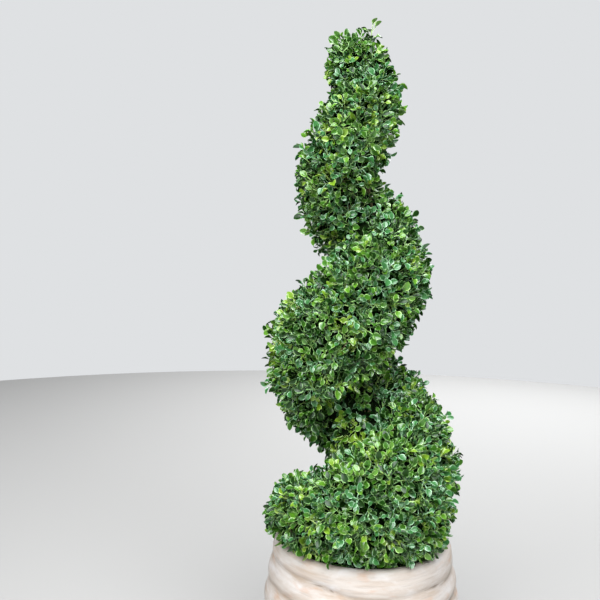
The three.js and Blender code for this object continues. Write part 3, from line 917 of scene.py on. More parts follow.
@dataclass
class Crown:
    """The clipped crown's outline, measured out from an upright axis through the stem's middle."""

    pot: ClayPot
    stem: Stem
    strand: Strand = field(default_factory=Strand)
    axis_x: float = -17.5
    column_radius: float = 35.0
    lip_overhang: float = 2.0
    overhang_slope: float = 0.5
    mouth_clear: float = 4.0
    bore_clear: float = 2.0
    lip_clear: float = 3.0
    first_cut: float = 165.0
    mass_sweep: float = 120.0
    crown_top: float = 649.0
    depth_steps: int = 13
    pot_row: float = 4.0
    parts: StrandSection = field(init=False)
    cut_top: float = field(init=False)
    head: float = field(init=False)

    def __post_init__(self) -> None:
        """Works out the strand's sections and the heights of the tip's cut and of the head."""
        self.parts = self.strand.sections()
        self.cut_top = self.pot.height + self.crown_top
        self.head = self.pot.height + self.strand.head + self.strand.tall[2]

    def to_circle(
        self, angle: np.ndarray, x: np.ndarray, y: np.ndarray, radius: np.ndarray
    ) -> np.ndarray:
        """Distance from the crown's axis to the far side of a circle.

        Args:
            angle: Directions from the axis in degrees.
            x: Circles' centres along X in millimetres.
            y: Circles' centres along Y in millimetres.
            radius: Circles' radii in millimetres.

        Returns:
            Distances in millimetres, 0 where a direction misses its circle.
        """
        turn = np.radians(angle)
        ahead = (x - self.axis_x) * np.cos(turn) + y * np.sin(turn)
        aside = (x - self.axis_x) * np.sin(turn) - y * np.cos(turn)
        rest = radius * radius - aside * aside
        return np.where(rest > 0, ahead + np.sqrt(np.maximum(rest, 0)), 0)

    def reach(self, angle: np.ndarray, z: np.ndarray) -> np.ndarray:
        """How far the clipped crown reaches from its axis.

        Args:
            angle: Directions in degrees.
            z: Heights above the ground in millimetres.

        Returns:
            Distances in millimetres. Inside the pot's mouth they stop short of the clay.
        """
        angle, z = (np.asarray(value, float) for value in np.broadcast_arrays(angle, z))
        height = z - self.pot.height
        centre = self.stem.centre(z)
        best = self.to_circle(angle, centre[..., 0], centre[..., 1], self.column_radius)
        for i, part_angle in enumerate(self.parts.angle):
            level = (height - self.parts.height[i]) / self.parts.tall[i]
            near = np.abs(level) < 1
            if not near.any():
                continue
            turn = math.radians(part_angle)
            x = centre[..., 0][near] + self.parts.orbit[i] * math.cos(turn)
            y = centre[..., 1][near] + self.parts.orbit[i] * math.sin(turn)
            radius = self.parts.width[i] * np.sqrt(1 - level[near] ** 2)
            best[near] = np.maximum(best[near], self.to_circle(angle[near], x, y, radius))
        wall = self.pot.lip_radius + self.lip_overhang + self.overhang_slope * np.maximum(0, height)
        mouth = self.pot.lip_radius - self.pot.wall - self.mouth_clear
        wall = np.where(height < self.lip_clear, mouth, wall)
        return np.minimum(best, self.to_circle(angle, 0, 0, wall))

    def inside(self, angle: np.ndarray, z: np.ndarray, depth: float) -> np.ndarray:
        """How far a body reaches that stays a depth under the outline, above and below it too.

        Args:
            angle: Directions in degrees.
            z: Heights in millimetres.
            depth: Least distance to the outline in millimetres.

        Returns:
            Distances from the axis in millimetres.
        """
        least = np.full(np.shape(z), np.inf)
        for share in np.linspace(-1, 1, self.depth_steps):
            shorter = depth * math.sqrt(1 - share * share)
            least = np.minimum(least, self.reach(angle, z + depth * share) - shorter)
        return least

    def bore(self, z: np.ndarray) -> np.ndarray:
        """Radius that the stem needs round the crown's axis, in millimetres."""
        centre = self.stem.centre(z)
        offset = np.hypot(centre[..., 0] - self.axis_x, centre[..., 1])
        return offset + self.stem.radius_at(z) + self.bore_clear

    def place(self, angle: np.ndarray, radius: np.ndarray, z: np.ndarray) -> np.ndarray:
        """Places at angles, distances from the axis and heights, in millimetres."""
        turn = np.radians(angle)
        x, y = self.axis_x + radius * np.cos(turn), radius * np.sin(turn)
        return np.stack(np.broadcast_arrays(x, y, z), axis=-1)

    def cut(self, angle: np.ndarray) -> np.ndarray:
        """Height of the cut between the strand at angles and the next turn above it."""
        lower, upper = self.strand.at(angle), self.strand.at(np.asarray(angle, float) + 360)
        return self.pot.height + (lower.height + lower.tall + upper.height - upper.tall) / 2

    def clear_of_pot(self, point: np.ndarray, margin: float) -> np.ndarray:
        """True where points keep a margin off the clay.

        Args:
            point: Places in millimetres.
            margin: Distance to keep, in millimetres.

        Returns:
            One truth value for each point.
        """
        pot = self.pot
        radius = np.hypot(point[..., 0], point[..., 1])
        depth = pot.height - point[..., 2]
        table = np.arange(0, pot.height, self.pot_row)
        inner = np.interp(depth, table, [pot.inner_radius(row) for row in table])
        outer = np.interp(depth, table, [pot.crest_radius(row) for row in table])
        within = (radius < inner - margin) & (depth < pot.soil_below_lip - margin)
        return (depth < -margin) | within | (radius > outer + margin)


@dataclass(frozen=True)
class Mass:
    """One mass of the spiral: its middle angle and the heights of the cuts below and above it."""

    name: str
    middle: float
    bottom: float
    top: float


class Spiral:
    """The crown cut into its masses, from the foot of the spiral to its tip."""

    NAMES = [f"turn{index // 3 + 1}_{SECTORS[index % 3]}" for index in range(8)]
    TIP = "tip"

    def __init__(self, crown: Crown) -> None:
        """Works out the sectors.

        Args:
            crown: The crown's outline.
        """
        self.crown = crown
        self.end = crown.first_cut + len(self.NAMES) * crown.mass_sweep
        self.masses = []
        for index, name in enumerate(self.NAMES):
            middle = crown.first_cut + (index + 0.5) * crown.mass_sweep
            bottom, top = float(self.bottom(middle)), float(self.top(middle))
            self.masses.append(Mass(name, middle, bottom, top))
        self.masses.append(Mass(self.TIP, 0, crown.cut_top, crown.head))

    def bottom(self, angle: np.ndarray) -> np.ndarray:
        """Height that the spiral starts at, at angles counted up the spiral."""
        angle = np.asarray(angle, float)
        first = angle < self.crown.first_cut + 360
        below = self.crown.cut(np.where(first, angle, angle - 360))
        return np.where(first, self.crown.stem.foot, below)

    def top(self, angle: np.ndarray) -> np.ndarray:
        """Height that the spiral ends at, at angles counted up the spiral."""
        angle = np.asarray(angle, float)
        return np.where(angle > self.end - 360, self.crown.cut_top, self.crown.cut(angle))

    def mass_at(self, angle: np.ndarray, z: np.ndarray) -> np.ndarray:
        """Index of the mass that each place belongs to.

        Args:
            angle: Directions from the axis, 0 to 360.
            z: Heights in millimetres.

        Returns:
            One index for each place; the tip's is the last.
        """
        index = np.full(np.shape(angle), len(self.NAMES))
        for turn in range(4):
            wound = angle + 360 * turn
            held = (wound >= self.crown.first_cut) & (wound < self.end)
            held &= (z >= self.bottom(wound)) & (z < self.top(wound)) & (z < self.crown.cut_top)
            index[held] = (wound[held] - self.crown.first_cut) // self.crown.mass_sweep
        return index


def unit(vectors: np.ndarray) -> np.ndarray:
    """Vectors at length 1."""
    return vectors / np.maximum(np.linalg.norm(vectors, axis=-1, keepdims=True), 1e-9)


def square_to(axis: np.ndarray) -> tuple[np.ndarray, np.ndarray]:
    """Two unit vectors for each axis, square to it and to each other."""
    helper = np.where(np.abs(axis[..., 2:3]) > 0.9, [1.0, 0.0, 0.0], UPWARD)
    first = unit(np.cross(axis, helper))
    return first, np.cross(axis, first)


def uneven(
    places: np.ndarray, size: float, shift: tuple[float, float, float] = (0, 0, 0)
) -> np.ndarray:
    """Noise at places, about -1 to 1, with features of a size in the places' unit."""
    return np.array([noise.noise(Vector(place) / size + Vector(shift)) for place in places])


def strewn(candidates: np.ndarray, spacing: float) -> np.ndarray:
    """Picks places that keep a spacing, going through the candidates in their order.

    Args:
        candidates: Places in millimetres.
        spacing: Least distance between two picked places.

    Returns:
        Indices of the picked places.
    """
    cells: dict[tuple[int, int, int], list[int]] = {}
    keys = np.floor(candidates / spacing).astype(int)
    around = [(a, b, c) for a in (-1, 0, 1) for b in (-1, 0, 1) for c in (-1, 0, 1)]
    picked = []
    for index, (i, j, k) in enumerate(keys):
        near = [n for a, b, c in around for n in cells.get((i + a, j + b, k + c), ())]
        if near and ((candidates[near] - candidates[index]) ** 2).sum(1).min() < spacing * spacing:
            continue
        cells.setdefault((i, j, k), []).append(index)
        picked.append(index)
    return np.array(picked, int)


@dataclass(frozen=True)
class LeafForm:
    """Shape of one spoon-shaped leaf of unit length, root at the origin, tip along +Y.

    Each row is a distance along the leaf and a half width as a share of the widest one.
    """

    rows: tuple[tuple[float, float], ...]
    columns: int
    width: float = 0.4
    margin: float = 0.17
    margin_widest: float = 0.35
    margin_from: float = 0.62
    stalk_past: float = 0.02
    fold: float = 0.16
    curl: float = 0.35
    curl_from: float = 0.35
    curl_lift: float = 0.12
    rounding: float = 0.12

    def template(self) -> tuple[np.ndarray, list[tuple[int, ...]], list[bool]]:
        """Shapes the leaf from a grid.

        Returns:
            The vertices, the faces as vertex indices, and which faces are margin.
        """
        shape = bmesh.new()
        cells, half = len(self.rows) - 1, self.columns // 2
        bmesh.ops.create_grid(shape, x_segments=self.columns, y_segments=cells, size=1)
        for vert in shape.verts:
            column = round((vert.co.x + 1) * half)
            far, share = self.rows[round((vert.co.y + 1) * cells / 2)]
            side = (column - half) / half
            if 0 < abs(side) < 1:
                margin = self.margin / max(share, self.margin_widest)
                side = math.copysign(1 - margin, side)
            rounded = self.rounding * share * side * side * far
            droop = self.curl * ((far - self.curl_from) ** 2 - self.curl_lift)
            height = self.fold * abs(side) * share - droop
            vert.co = (side * share * self.width / 2, far - rounded, height)
        shape.verts.index_update()
        verts = np.array([vert.co[:] for vert in shape.verts])
        faces, margins = [], []
        for face in shape.faces:
            faces.append(tuple(vert.index for vert in face.verts))
            middle = sum((vert.co.x for vert in face.verts), 0.0) / len(face.verts)
            reach = max(abs(vert.co.x) for vert in face.verts)
            stalk = max(vert.co.y for vert in face.verts) < self.rows[1][0] + self.stalk_past
            edge = abs(middle) > self.margin_from * reach
            margins.append(self.columns > 2 and (stalk or edge))
        shape.free()
        return verts, faces, margins


@dataclass(frozen=True)
class LeafPair:
    """One of the pairs down a shoot: how far below its tip, its lean from the shoot, its size."""

    below: float
    lean: float
    size: float
    shown: bool = True


@dataclass(frozen=True)
class Limb:
    """A kind of limb: its radii from root to end, its sides and how far its middle strays."""

    radii: tuple[float, ...]
    sides: int
    stray: float = 0.0
    young: bool = False


SHOWN_LEAF = LeafForm(
    rows=((0.0, 0.12), (0.43, 0.16), (0.57, 0.44), (0.72, 0.87), (0.88, 1.0), (1.0, 0.68)),
    columns=4,
)
SHADED_LEAF = LeafForm(rows=((0.0, 0.1), (0.4, 0.4), (0.74, 1.0), (1.0, 0.4)), columns=2)
LEAF_PAIRS = (
    LeafPair(0.5, 24, 0.66),
    LeafPair(3.5, 46, 0.84),
    LeafPair(8.5, 60, 1.0),
    LeafPair(14.5, 68, 1.04),
    LeafPair(20.5, 74, 1.04, shown=False),
    LeafPair(27.0, 78, 1.0, shown=False),
)
BOUGH = Limb((3.6, 2.0), 7)
BRANCH = Limb((2.2, 1.8, 1.4), 5, 2.5)
TWIG = Limb((1.3, 1.1, 0.9), 3, 1.5)
SHOOT = Limb((0.95, 0.75, 0.4), 3, 0.8, young=True)


@dataclass
class Batch:
    """A growing list of arrays that ends as one joined mesh."""

    points: list[np.ndarray] = field(default_factory=list)
    loops: list[np.ndarray] = field(default_factory=list)
    sizes: list[np.ndarray] = field(default_factory=list)
    slots: list[np.ndarray] = field(default_factory=list)
    count: int = 0

    def add(self, places: np.ndarray, faces: list[tuple[int, ...]], slots: np.ndarray) -> None:
        """Adds many copies of one small shape.

        Args:
            places: Vertices of every copy, copies by vertices by 3, in millimetres.
            faces: Faces of one copy.
            slots: Material slot of every face of every copy, copies by faces.
        """
        copies, verts = places.shape[:2]
        if not copies:
            return
        shift = self.count + verts * np.arange(copies)[:, None]
        self.points.append(places.reshape(-1, 3) * MM)
        self.loops.append((shift + np.concatenate(faces)).ravel())
        self.sizes.append(np.tile([len(face) for face in faces], copies))
        self.slots.append(slots.ravel())
        self.count += copies * verts

    def add_tubes(self, paths: np.ndarray, limb: Limb) -> None:
        """Adds thin closed tubes along paths.

        Args:
            paths: Points of every path, paths by points by 3, in millimetres.
            limb: The kind of limb that they are. Young ones take slot 1, others slot 0.
        """
        steps, sides = paths.shape[1], limb.sides
        first, second = square_to(unit(np.gradient(paths, axis=1)))
        turn = (2 * np.pi * np.arange(sides) / sides)[:, None]
        ring = first[:, :, None, :] * np.cos(turn) + second[:, :, None, :] * np.sin(turn)
        radii = np.interp(np.linspace(0, 1, steps), np.linspace(0, 1, len(limb.radii)), limb.radii)
        verts = paths[:, :, None, :] + radii[:, None, None] * ring
        faces = [tuple(reversed(range(sides)))]
        for i in range(steps - 1):
            for k in range(sides):
                a, b = i * sides + k, i * sides + (k + 1) % sides
                faces.append((a, b, b + sides, a + sides))
        faces.append(tuple((steps - 1) * sides + k for k in range(sides)))
        slots = np.full((len(paths), len(faces)), int(limb.young))
        self.add(verts.reshape(len(paths), steps * sides, 3), faces, slots)

    def mesh(self, name: str) -> bpy.types.Mesh:
        """Joins what was added into one smooth-shaded mesh."""
        points, loops = np.concatenate(self.points), np.concatenate(self.loops)
        sizes, slots = np.concatenate(self.sizes), np.concatenate(self.slots)
        mesh = bpy.data.meshes.new(name)
        mesh.vertices.add(len(points))
        mesh.vertices.foreach_set("co", points.astype(np.float32).ravel())
        mesh.loops.add(len(loops))
        mesh.loops.foreach_set("vertex_index", loops.astype(np.int32))
        mesh.polygons.add(len(sizes))
        starts = np.concatenate([[0], np.cumsum(sizes)[:-1]])
        mesh.polygons.foreach_set("loop_start", starts.astype(np.int32))
        mesh.polygons.foreach_set("material_index", slots.astype(np.int32))
        mesh.polygons.foreach_set("use_smooth", np.ones(len(sizes), bool))
        mesh.update(calc_edges=True)
        mesh.validate()
        return mesh


@dataclass
class Sprays:
    """Places of the leafy shoots, and what each one carries."""

    tip: np.ndarray
    axis: np.ndarray
    mass: np.ndarray
    tone: np.ndarray
    size: np.ndarray
    turn: np.ndarray

    def of(self, index: int) -> "Sprays":
        """The sprays of one mass."""
        held = self.mass == index
        return Sprays(*(getattr(self, item.name)[held] for item in fields(self)))


@dataclass
class Foliage:
    """Everything that grows from the stem: boughs, twigs, shoots and their paired leaves.

    The rule is the solids' rule carried further: each mass has one bough from the stem, branches
    run from it to the outside, twigs fork from the branches, and each twig ends in a leafy shoot.
    """

    spiral: Spiral
    grid_step: float = 2.5
    grid_foot: float = 3.0
    grid_head: float = 1.0
    drawn_places: int = 40000
    blurs: int = 3
    spray_spacing: float = 11.9
    branch_spacing: float = 30.0
    bough_foot: float = 0.15
    bough_sunk: float = 1.0
    bough_shares: tuple[float, ...] = (0.18, 0.3, 0.45, 0.6, 0.75, 0.88)
    bough_stop: float = 8.0
    bough_room: float = 6.0
    tip_bough: tuple[float, ...] = (-12.0, -4.0, 4.0, 12.0, 20.0, 28.0, 34.0)
    shoot_length: float = 32.0
    shoot_round: float = 0.12
    shoot_rise: float = 0.34
    shoot_scatter: float = 0.48
    least_facing: float = 0.5
    spray_sizes: tuple[float, float] = (0.86, 1.14)
    wood_depth: float = 14.0
    hidden_share: float = 0.8
    short_limb: float = 16.0
    overlap: float = 4.0
    tip_depth: float = 12.0
    tip_scatter: float = 3.2
    head_height: float = 50.0
    top_trim: float = 14.0
    tip_below_head: float = 11.0
    top_scatter: float = 4.5
    dimple_size: float = 34.0
    dimple_depth: float = 10.0
    proud_share: float = 0.035
    proud: float = 7.0
    proud_range: tuple[float, float] = (0.5, 1.3)
    sprig_x: float = 2.0
    sprig_rise: float = 14.0
    sprig_lean: float = 0.1
    drift_size: float = 55.0
    drift_shift: tuple[float, float, float] = (9.0, 2.0, 4.0)
    drift: float = 0.1
    leaf_length: float = 21.0
    leaf_lengths: tuple[float, float] = (0.78, 1.16)
    leaf_turn: float = 0.35
    leaf_tilt: float = 20.0
    leaf_roll: float = 0.7
    fresh_tips: float = 0.5
    pot_margin: float = 1.5
    lip_droop: float = 4.0
    droop_range: tuple[float, float] = (-1.0, 1.8)
    thicket_depth: float = 31.0
    thicket_foot: float = 6.0
    thicket_head: float = 8.0
    thicket_least: float = 5.0
    thicket_read: float = 40.0
    thicket_relief: float = 5.0
    thicket_relief_size: float = 16.0
    thicket_rows: int = 108
    thicket_inner_rows: int = 12
    thicket_steps: int = 96
    seed: int = 21

    def __post_init__(self) -> None:
        """Opens the one stream of random numbers that the growth draws from."""
        self.crown = self.spiral.crown
        self.random = np.random.default_rng(self.seed)

    def candidates(self) -> tuple[np.ndarray, np.ndarray]:
        """Draws places evenly over the whole outline, shelves between the turns included.

        Returns:
            Many more places than are needed, and the way out of the crown at each.
        """
        crown, step = self.crown, self.grid_step
        turns = round(360 / step)
        rises = round((crown.head - self.grid_head - crown.stem.foot) / step)
        heights = crown.stem.foot + self.grid_foot + step * np.arange(rises)
        angle, z = np.meshgrid(step * np.arange(turns), heights, indexing="ij")
        grid = crown.place(angle, crown.reach(angle, z), z)
        crest = crown.place(0, 0, z.max())
        grid = np.concatenate([grid, np.broadcast_to(crest, (turns, 1, 3))], axis=1)
        round_step = np.roll(grid, -1, axis=0) - grid
        up_step = np.diff(grid, axis=1, append=grid[:, -1:])
        facing = np.cross(round_step, up_step)
        area = np.linalg.norm(facing, axis=2)
        for _ in range(self.blurs):
            facing = self.blurred(facing)
        drawn = self.random.choice(area.size, size=self.drawn_places, p=area.ravel() / area.sum())
        shift = self.random.uniform(size=(2, len(drawn), 1))
        corner, across_cell, up_cell, out = (
            values.reshape(-1, 3)[drawn] for values in (grid, round_step, up_step, facing)
        )
        return corner + across_cell * shift[0] + up_cell * shift[1], unit(out)

    @staticmethod
    def blurred(values: np.ndarray) -> np.ndarray:
        """Averages vectors on a grid that closes round its first axis with their neighbours."""
        padded = np.pad(values, ((0, 0), (1, 1), (0, 0)), mode="edge")
        upright = (padded[:, :-2] + 2 * padded[:, 1:-1] + padded[:, 2:]) / 4
        return (np.roll(upright, 1, axis=0) + 2 * upright + np.roll(upright, -1, axis=0)) / 4

    def sprays(self) -> Sprays:
        """Strews the shoots over the crown and deals out their tones."""
        crown, random = self.crown, self.random
        places, outward = self.candidates()
        picked = strewn(places, self.spray_spacing)
        places, outward = places[picked], outward[picked]
        count = len(picked)
        angle = np.degrees(np.arctan2(places[:, 1], places[:, 0] - crown.axis_x)) % 360
        aside = self.shoot_round * unit(places - crown.place(angle, 0, places[:, 2]))
        strayed = random.normal(0, self.shoot_scatter, (count, 3))
        axis = unit(outward + aside + self.shoot_rise * UPWARD + strayed)
        facing = (axis * outward).sum(axis=1)
        axis += outward * np.maximum(0, self.least_facing - facing)[:, None]
        tip = places - outward * self.depths(places, outward)[:, None]
        highest = crown.head - self.tip_below_head + random.normal(0, self.top_scatter, count)
        tip[:, 2] = np.minimum(tip[:, 2], highest)
        # One sprig at the very top stands up out of the clipped head.
        sprig = np.argmin(np.hypot(tip[:, 0] - self.sprig_x, tip[:, 1]) + crown.head - tip[:, 2])
        tip[sprig, 2] = crown.head - self.tip_below_head + self.sprig_rise
        axis[sprig] = outward[sprig] * self.sprig_lean + UPWARD
        return Sprays(
            tip=tip,
            axis=unit(axis),
            mass=self.spiral.mass_at(angle, places[:, 2]),
            tone=self.tones(uneven(places, self.drift_size, self.drift_shift)),
            size=random.uniform(*self.spray_sizes, count),
            turn=random.uniform(0, 2 * np.pi, count),
        )

    def depths(self, places: np.ndarray, outward: np.ndarray) -> np.ndarray:
        """How far below the outline the shoots' tips lie: dimpled, with a few left proud.

        Args:
            places: Places on the outline.
            outward: The way out of the crown at each.

        Returns:
            Depths in millimetres.
        """
        count = len(places)
        depth = self.tip_depth + self.random.normal(0, self.tip_scatter, count)
        head = places[:, 2] > self.crown.head - self.head_height
        depth += self.top_trim * np.maximum(0, outward[:, 2]) ** 2 * head
        depth += self.dimple_depth * np.maximum(0, uneven(places, self.dimple_size))
        proud = self.random.uniform(size=count) < self.proud_share
        return depth - self.proud * proud * self.random.uniform(*self.proud_range, count)

    def tones(self, drift: np.ndarray) -> np.ndarray:
        """Deals a tone to each spray by the tones' shares, with a slow drift over the crown.

        Args:
            drift: Drift at each spray, about -1 to 1.

        Returns:
            The index of each spray's tone.
        """
        limits = np.cumsum([tone.value.share for tone in Tone])
        drawn = self.random.uniform(size=len(drift)) + self.drift * drift
        return np.searchsorted(limits, np.clip(drawn, 0, 0.999))

    def bough(self, mass: Mass) -> np.ndarray:
        """Line of the bough that rises through a mass, from the stem's side."""
        crown = self.crown
        if mass.name == Spiral.TIP:
            return crown.stem.centre(crown.cut_top + np.array(self.tip_bough))
        heading = crown.place(mass.middle, 1, 0) - crown.place(mass.middle, 0, 0)
        foot = mass.bottom + self.bough_foot * (mass.top - mass.bottom)
        bark = crown.stem.radius_at(foot) - self.bough_sunk
        points = [crown.stem.centre(foot) + heading * bark]
        for share in self.bough_shares:
            z = mass.bottom + share * (mass.top - mass.bottom)
            outer = crown.inside(mass.middle, z, self.thicket_depth)
            if outer < crown.bore(z) + self.bough_stop and len(points) > 2:
                break
            outer = max(outer, crown.bore(z) + self.bough_room)
            points.append(crown.place(mass.middle, (crown.bore(z) + outer) / 2, z))
        return np.array(points)

    def wood(self, mass: Mass, sprays: Sprays) -> Batch:
        """Grows the bough of a mass, its branches, its twigs and the stems of its shoots.

        Args:
            mass: The mass.
            sprays: The sprays of that mass.

        Returns:
            The wood; slot 0 is old wood and slot 1 young shoots.
        """
        bough, batch = self.bough(mass), Batch()
        batch.add_tubes(bough[None], BOUGH)
        base = sprays.tip - sprays.axis * self.shoot_length
        half_way = sprays.tip[:, 2] - self.shoot_length / 2
        inwards = unit(self.crown.stem.centre(half_way) - sprays.tip)
        hidden = sprays.tip + inwards * self.shoot_length * self.hidden_share
        base = np.where(self.shows(base)[:, None], hidden, base)
        picked = strewn(base, self.branch_spacing)
        overlap = sprays.axis * self.overlap
        ends = base[picked] - overlap[picked]
        self.grow(batch, BRANCH, self.held_in(self.nearest(bough[1:], ends), ends), ends)
        self.grow(batch, TWIG, self.held_in(self.nearest(ends, base), base), base, overlap)
        self.grow(batch, SHOOT, base, sprays.tip)
        return batch

    def grow(
        self,
        batch: Batch,
        limb: Limb,
        roots: np.ndarray,
        ends: np.ndarray,
        further: np.ndarray | float = 0,
    ) -> None:
        """Adds limbs that bend a little at their middle.

        Args:
            batch: Mesh that gets them.
            limb: Their kind.
            roots: Where they start.
            ends: Where they end.
            further: How far past those ends they run on, to sink into what they carry.
        """
        middle = (roots + ends) / 2 + self.random.normal(0, limb.stray, ends.shape)
        batch.add_tubes(np.stack([roots, middle, ends + further], axis=1), limb)

    def shows(self, points: np.ndarray) -> np.ndarray:
        """True for points where wood or a painted-shade leaf would come out of the clipped outline.
        """
        x, y, z = points[:, 0] - self.crown.axis_x, points[:, 1], points[:, 2]
        angle = np.degrees(np.arctan2(y, x))
        return np.hypot(x, y) > self.crown.inside(angle, z, self.wood_depth)

    def held_in(self, roots: np.ndarray, ends: np.ndarray) -> np.ndarray:
        """Starts a limb nearer its end where the straight way would leave the crown.

        Args:
            roots: Where the limbs would start.
            ends: Where they end.

        Returns:
            The roots, some moved to a short way in from the ends.
        """
        outside = np.zeros(len(roots), bool)
        for share in (0.25, 0.5, 0.75):
            outside |= self.shows(roots + (ends - roots) * share)
        inwards = self.crown.stem.centre(ends[:, 2]) - ends
        short = np.minimum(self.short_limb, np.linalg.norm(inwards, axis=1) / 2)
        return np.where(outside[:, None], ends + unit(inwards) * short[:, None], roots)

    @staticmethod
    def nearest(points: np.ndarray, places: np.ndarray) -> np.ndarray:
        """For each place, the nearest of the points."""
        gaps = np.linalg.norm(places[:, None, :] - points[None, :, :], axis=2)
        return points[gaps.argmin(axis=1)]

    def leaves(self, sprays: Sprays) -> Batch:
        """Sets pairs of leaves down each shoot, every pair across the one above it.

        Args:
            sprays: The sprays of one mass.

        Returns:
            The leaves; each tone has two slots, blade and margin.
        """
        random, batch = self.random, Batch()
        forms = {True: SHOWN_LEAF.template(), False: SHADED_LEAF.template()}
        count = len(sprays.tip)
        for number, pair in enumerate(LEAF_PAIRS):
            verts, faces, margins = forms[pair.shown]
            root = sprays.tip - sprays.axis * pair.below
            for side in (0, 1):
                frame = self.leaf_frames(sprays, pair, sprays.turn + (number / 2 + side) * np.pi)
                places = root[:, None, :] + verts @ frame
                held = self.fits(root, places)
                fresher = (number == 0) & (random.uniform(size=count) < self.fresh_tips)
                tone = np.minimum(sprays.tone + fresher, len(Tone) - 1)
                # The deep pairs all take the old leaves' near-black green, which is painted shade.
                if not pair.shown:
                    tone = np.full(count, len(Tone))
                    held &= ~self.shows(places.mean(axis=1))
                slots = 2 * tone[:, None] + np.array(margins)
                batch.add(places[held], faces, slots[held])
        return batch

    def leaf_frames(self, sprays: Sprays, pair: LeafPair, turn: np.ndarray) -> np.ndarray:
        """Turns and sizes one leaf of a pair on every shoot.

        Args:
            sprays: The shoots.
            pair: The pair that the leaf belongs to.
            turn: Radians round each shoot.

        Returns:
            The leaves' own axes in millimetres: across, forward and out of the face.
        """
        random, count = self.random, len(turn)
        right, ahead = square_to(sprays.axis)
        turn = (turn + random.normal(0, self.leaf_turn, count))[:, None]
        tilt = np.radians(pair.lean + random.normal(0, self.leaf_tilt, count))[:, None]
        out = right * np.cos(turn) + ahead * np.sin(turn)
        forward = sprays.axis * np.cos(tilt) + out * np.sin(tilt)
        face = sprays.axis * np.sin(tilt) - out * np.cos(tilt)
        roll = random.normal(0, self.leaf_roll, count)[:, None]
        face = face * np.cos(roll) + np.cross(forward, face) * np.sin(roll)
        length = self.leaf_length * pair.size * sprays.size
        length *= random.uniform(*self.leaf_lengths, count)
        return np.stack([np.cross(forward, face), forward, face], axis=1) * length[:, None, None]

    def fits(self, root: np.ndarray, places: np.ndarray) -> np.ndarray:
        """True for leaves that stay clear of the clay and hang only a little over the lip.

        Args:
            root: Roots of the leaves.
            places: Vertices of the leaves, leaves by vertices by 3.

        Returns:
            One truth value for each leaf.
        """
        pot = self.crown.pot
        clear = self.crown.clear_of_pot(places, self.pot_margin).all(axis=1)
        clear &= self.crown.clear_of_pot(root, self.pot_margin)
        over_lip = np.hypot(places[..., 0], places[..., 1]) > pot.lip_radius - pot.wall / 2
        droop = self.lip_droop * self.random.uniform(*self.droop_range, len(places))
        low = places[..., 2] < pot.height - droop[:, None]
        return clear & ~(over_lip & low).any(axis=1)

    def thicket(self, finish: ShadedThicket) -> bpy.types.Object:
        """Makes the dense inside of the crown, open round the stem."""
        crown, rows, inner_rows = self.crown, self.thicket_rows, self.thicket_inner_rows
        low = crown.stem.foot + self.thicket_foot
        high = crown.head - self.thicket_depth - self.thicket_head
        inner, outer = 1.0, 2.0
        outline = [(inner, low + (high - low) * k / inner_rows) for k in range(inner_rows, -1, -1)]
        outline += [(outer, low + (high - low) * k / rows) for k in range(rows + 1)]
        shape = spun(outline, self.thicket_steps, closed=True)
        places = np.array([vert.co[:] for vert in shape.verts]) / MM
        angle, z = np.degrees(np.arctan2(places[:, 1], places[:, 0])), places[:, 2]
        bore = crown.bore(z)
        read_at = crown.place(angle, bore + self.thicket_read, z)
        rough = self.thicket_relief * uneven(read_at, self.thicket_relief_size)
        wide = crown.inside(angle, z, self.thicket_depth) + rough
        wide = np.maximum(wide, bore + self.thicket_least)
        on_outside = np.hypot(places[:, 0], places[:, 1]) > (inner + outer) / 2
        moved = crown.place(angle, np.where(on_outside, wide, bore), z) * MM
        for vert, place in zip(shape.verts, moved):
            vert.co = place
        bmesh.ops.recalc_face_normals(shape, faces=shape.faces)
        nodes = tuple(f"foliage_{mass.name}" for mass in self.spiral.masses)
        mesh = mesh_from("thicket", shape)
        return finished_object("thicket", mesh, [finish.material()], nodes)

    def build(self, wood: TwigSkin, thicket: ShadedThicket) -> None:
        """Grows the whole crown, one piece of wood and one of leaves for each mass."""
        kinds = [tone.value for tone in Tone] + [OLD_LEAF_PAINTED_SHADE]
        leaf_materials = [material for kind in kinds for material in kind.materials()]
        wood_materials = wood.materials()
        every = self.sprays()
        LOG.info("sprays: %d", len(every.tip))
        self.thicket(thicket)
        for index, mass in enumerate(self.spiral.masses):
            sprays = every.of(index)
            node = (f"foliage_{mass.name}",)
            twigs, twigs_name = self.wood(mass, sprays), f"twigs_{mass.name}"
            leaves, leaves_name = self.leaves(sprays), f"leaves_{mass.name}"
            finished_object(twigs_name, twigs.mesh(twigs_name), wood_materials, node)
            finished_object(leaves_name, leaves.mesh(leaves_name), leaf_materials, node)


@dataclass(frozen=True)
class SoftBox:
    """A square soft light: its name, place in metres, side in metres, watts and aim in metres."""

    name: str
    place: tuple[float, float, float]
    side: float
    watts: float
    aim: tuple[float, float, float] = (0.0, 0.0, 0.5)


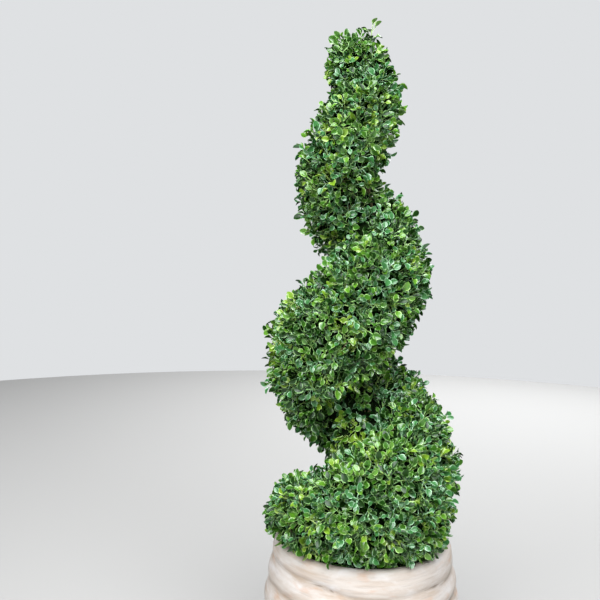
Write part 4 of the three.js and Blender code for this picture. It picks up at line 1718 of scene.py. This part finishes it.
@dataclass
class Studio:
    """A plain pale floor, soft lights and the camera at the photograph's angle."""

    camera_place: tuple[float, float, float] = (-94.0, -980.0, 649.0)
    pitch_down: float = 3.5
    roll: float = 0.94
    lens: float = 42.0
    sensor: float = 36.0
    floor_radius: float = 3.0
    floor_steps: int = 96
    floor_colour: str = "#b1afab"
    floor_roughness: float = 0.9
    sky_colour: str = "#e6edf5"
    sky_strength: float = 0.06
    lamp_colour: str = "#f5f8fd"
    backdrop_colour: str = "#dfe1e3"
    lights: tuple[SoftBox, ...] = (
        SoftBox("high_front", (0.3, -1.85, 2.6), 2.4, 145),
        SoftBox("front_fill", (-1.1, -1.5, 1.5), 1.2, 42, (0.0, 0.0, 0.9)),
        SoftBox("back_fill", (1.3, 2.4, 1.9), 1.8, 58),
        SoftBox("far_floor", (0.5, 2.7, 2.4), 3.2, 84, (0.5, 2.7, 0.0)),
    )

    def camera(self) -> None:
        """Makes the scene's camera."""
        data = bpy.data.cameras.new("photo_camera")
        data.lens = self.lens
        data.sensor_width = self.sensor
        camera = linked_object("photo_camera", data)
        pitch, roll = math.radians(self.pitch_down), math.radians(self.roll)
        forward = Vector((0, math.cos(pitch), -math.sin(pitch)))
        right = Vector((1, 0, 0))
        up = right.cross(forward)
        rolled_right = right * math.cos(roll) + up * math.sin(roll)
        rolled_up = up * math.cos(roll) - right * math.sin(roll)
        turned = Matrix((rolled_right, rolled_up, -forward)).transposed().to_4x4()
        camera.matrix_world = Matrix.Translation(Vector(self.camera_place) * MM) @ turned
        bpy.context.scene.camera = camera

    def floor(self) -> None:
        """Makes the pale floor."""
        shape = bmesh.new()
        bmesh.ops.create_circle(
            shape, cap_ends=True, radius=self.floor_radius, segments=self.floor_steps
        )
        mesh = mesh_from("floor", shape, smooth=False)
        paint = plain_material("floor_paint", self.floor_colour, self.floor_roughness)
        mesh.materials.append(paint)
        linked_object("floor", mesh)

    def light(self, box: SoftBox) -> None:
        """Hangs one soft light, unseen by the camera."""
        data = bpy.data.lights.new(box.name, "AREA")
        data.shape = "SQUARE"
        data.size = box.side
        data.energy = box.watts
        data.color = linear(self.lamp_colour)[:3]
        lamp = linked_object(box.name, data)
        lamp.visible_camera = False
        aim = Vector(box.aim) - Vector(box.place)
        turned = aim.to_track_quat("-Z", "Y").to_matrix().to_4x4()
        lamp.matrix_world = Matrix.Translation(Vector(box.place)) @ turned

    def sky(self) -> None:
        """Makes a dim sky that the camera sees as a pale backdrop."""
        world = bpy.data.worlds.new("pale_sky")
        world.use_nodes = True
        tree = world.node_tree
        sky = tree.nodes["Background"]
        sky.inputs["Color"].default_value = linear(self.sky_colour)
        sky.inputs["Strength"].default_value = self.sky_strength
        backdrop = add_node(tree, "ShaderNodeBackground", {"Color": linear(self.backdrop_colour)})
        seen = add_node(tree, "ShaderNodeLightPath").outputs["Is Camera Ray"]
        links = {0: seen, 1: sky.outputs["Background"], 2: backdrop.outputs["Background"]}
        shown = add_node(tree, "ShaderNodeMixShader", links=links)
        tree.links.new(shown.outputs["Shader"], tree.nodes["World Output"].inputs["Surface"])
        bpy.context.scene.world = world
        bpy.context.scene.view_settings.view_transform = "Standard"

    def build(self) -> None:
        """Sets up the camera, the floor, the lights and the sky."""
        self.camera()
        self.floor()
        for box in self.lights:
            self.light(box)
        self.sky()


def main() -> None:
    """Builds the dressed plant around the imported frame, piece by piece."""
    logging.basicConfig(level=logging.INFO, format="%(message)s")
    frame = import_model()
    LOG.info("frame: %d nodes", len(frame["nodes"]))
    Studio().build()
    pot = ClayPot()
    pot.build(WhitewashedTerracotta())
    SoilBed(pot).build(PottingSoil())
    stem = Stem()
    stem.build(BoxBark())
    spiral = Spiral(Crown(pot, stem))
    Foliage(spiral).build(TwigSkin(), ShadedThicket())


if __name__ == "__main__":
    main()
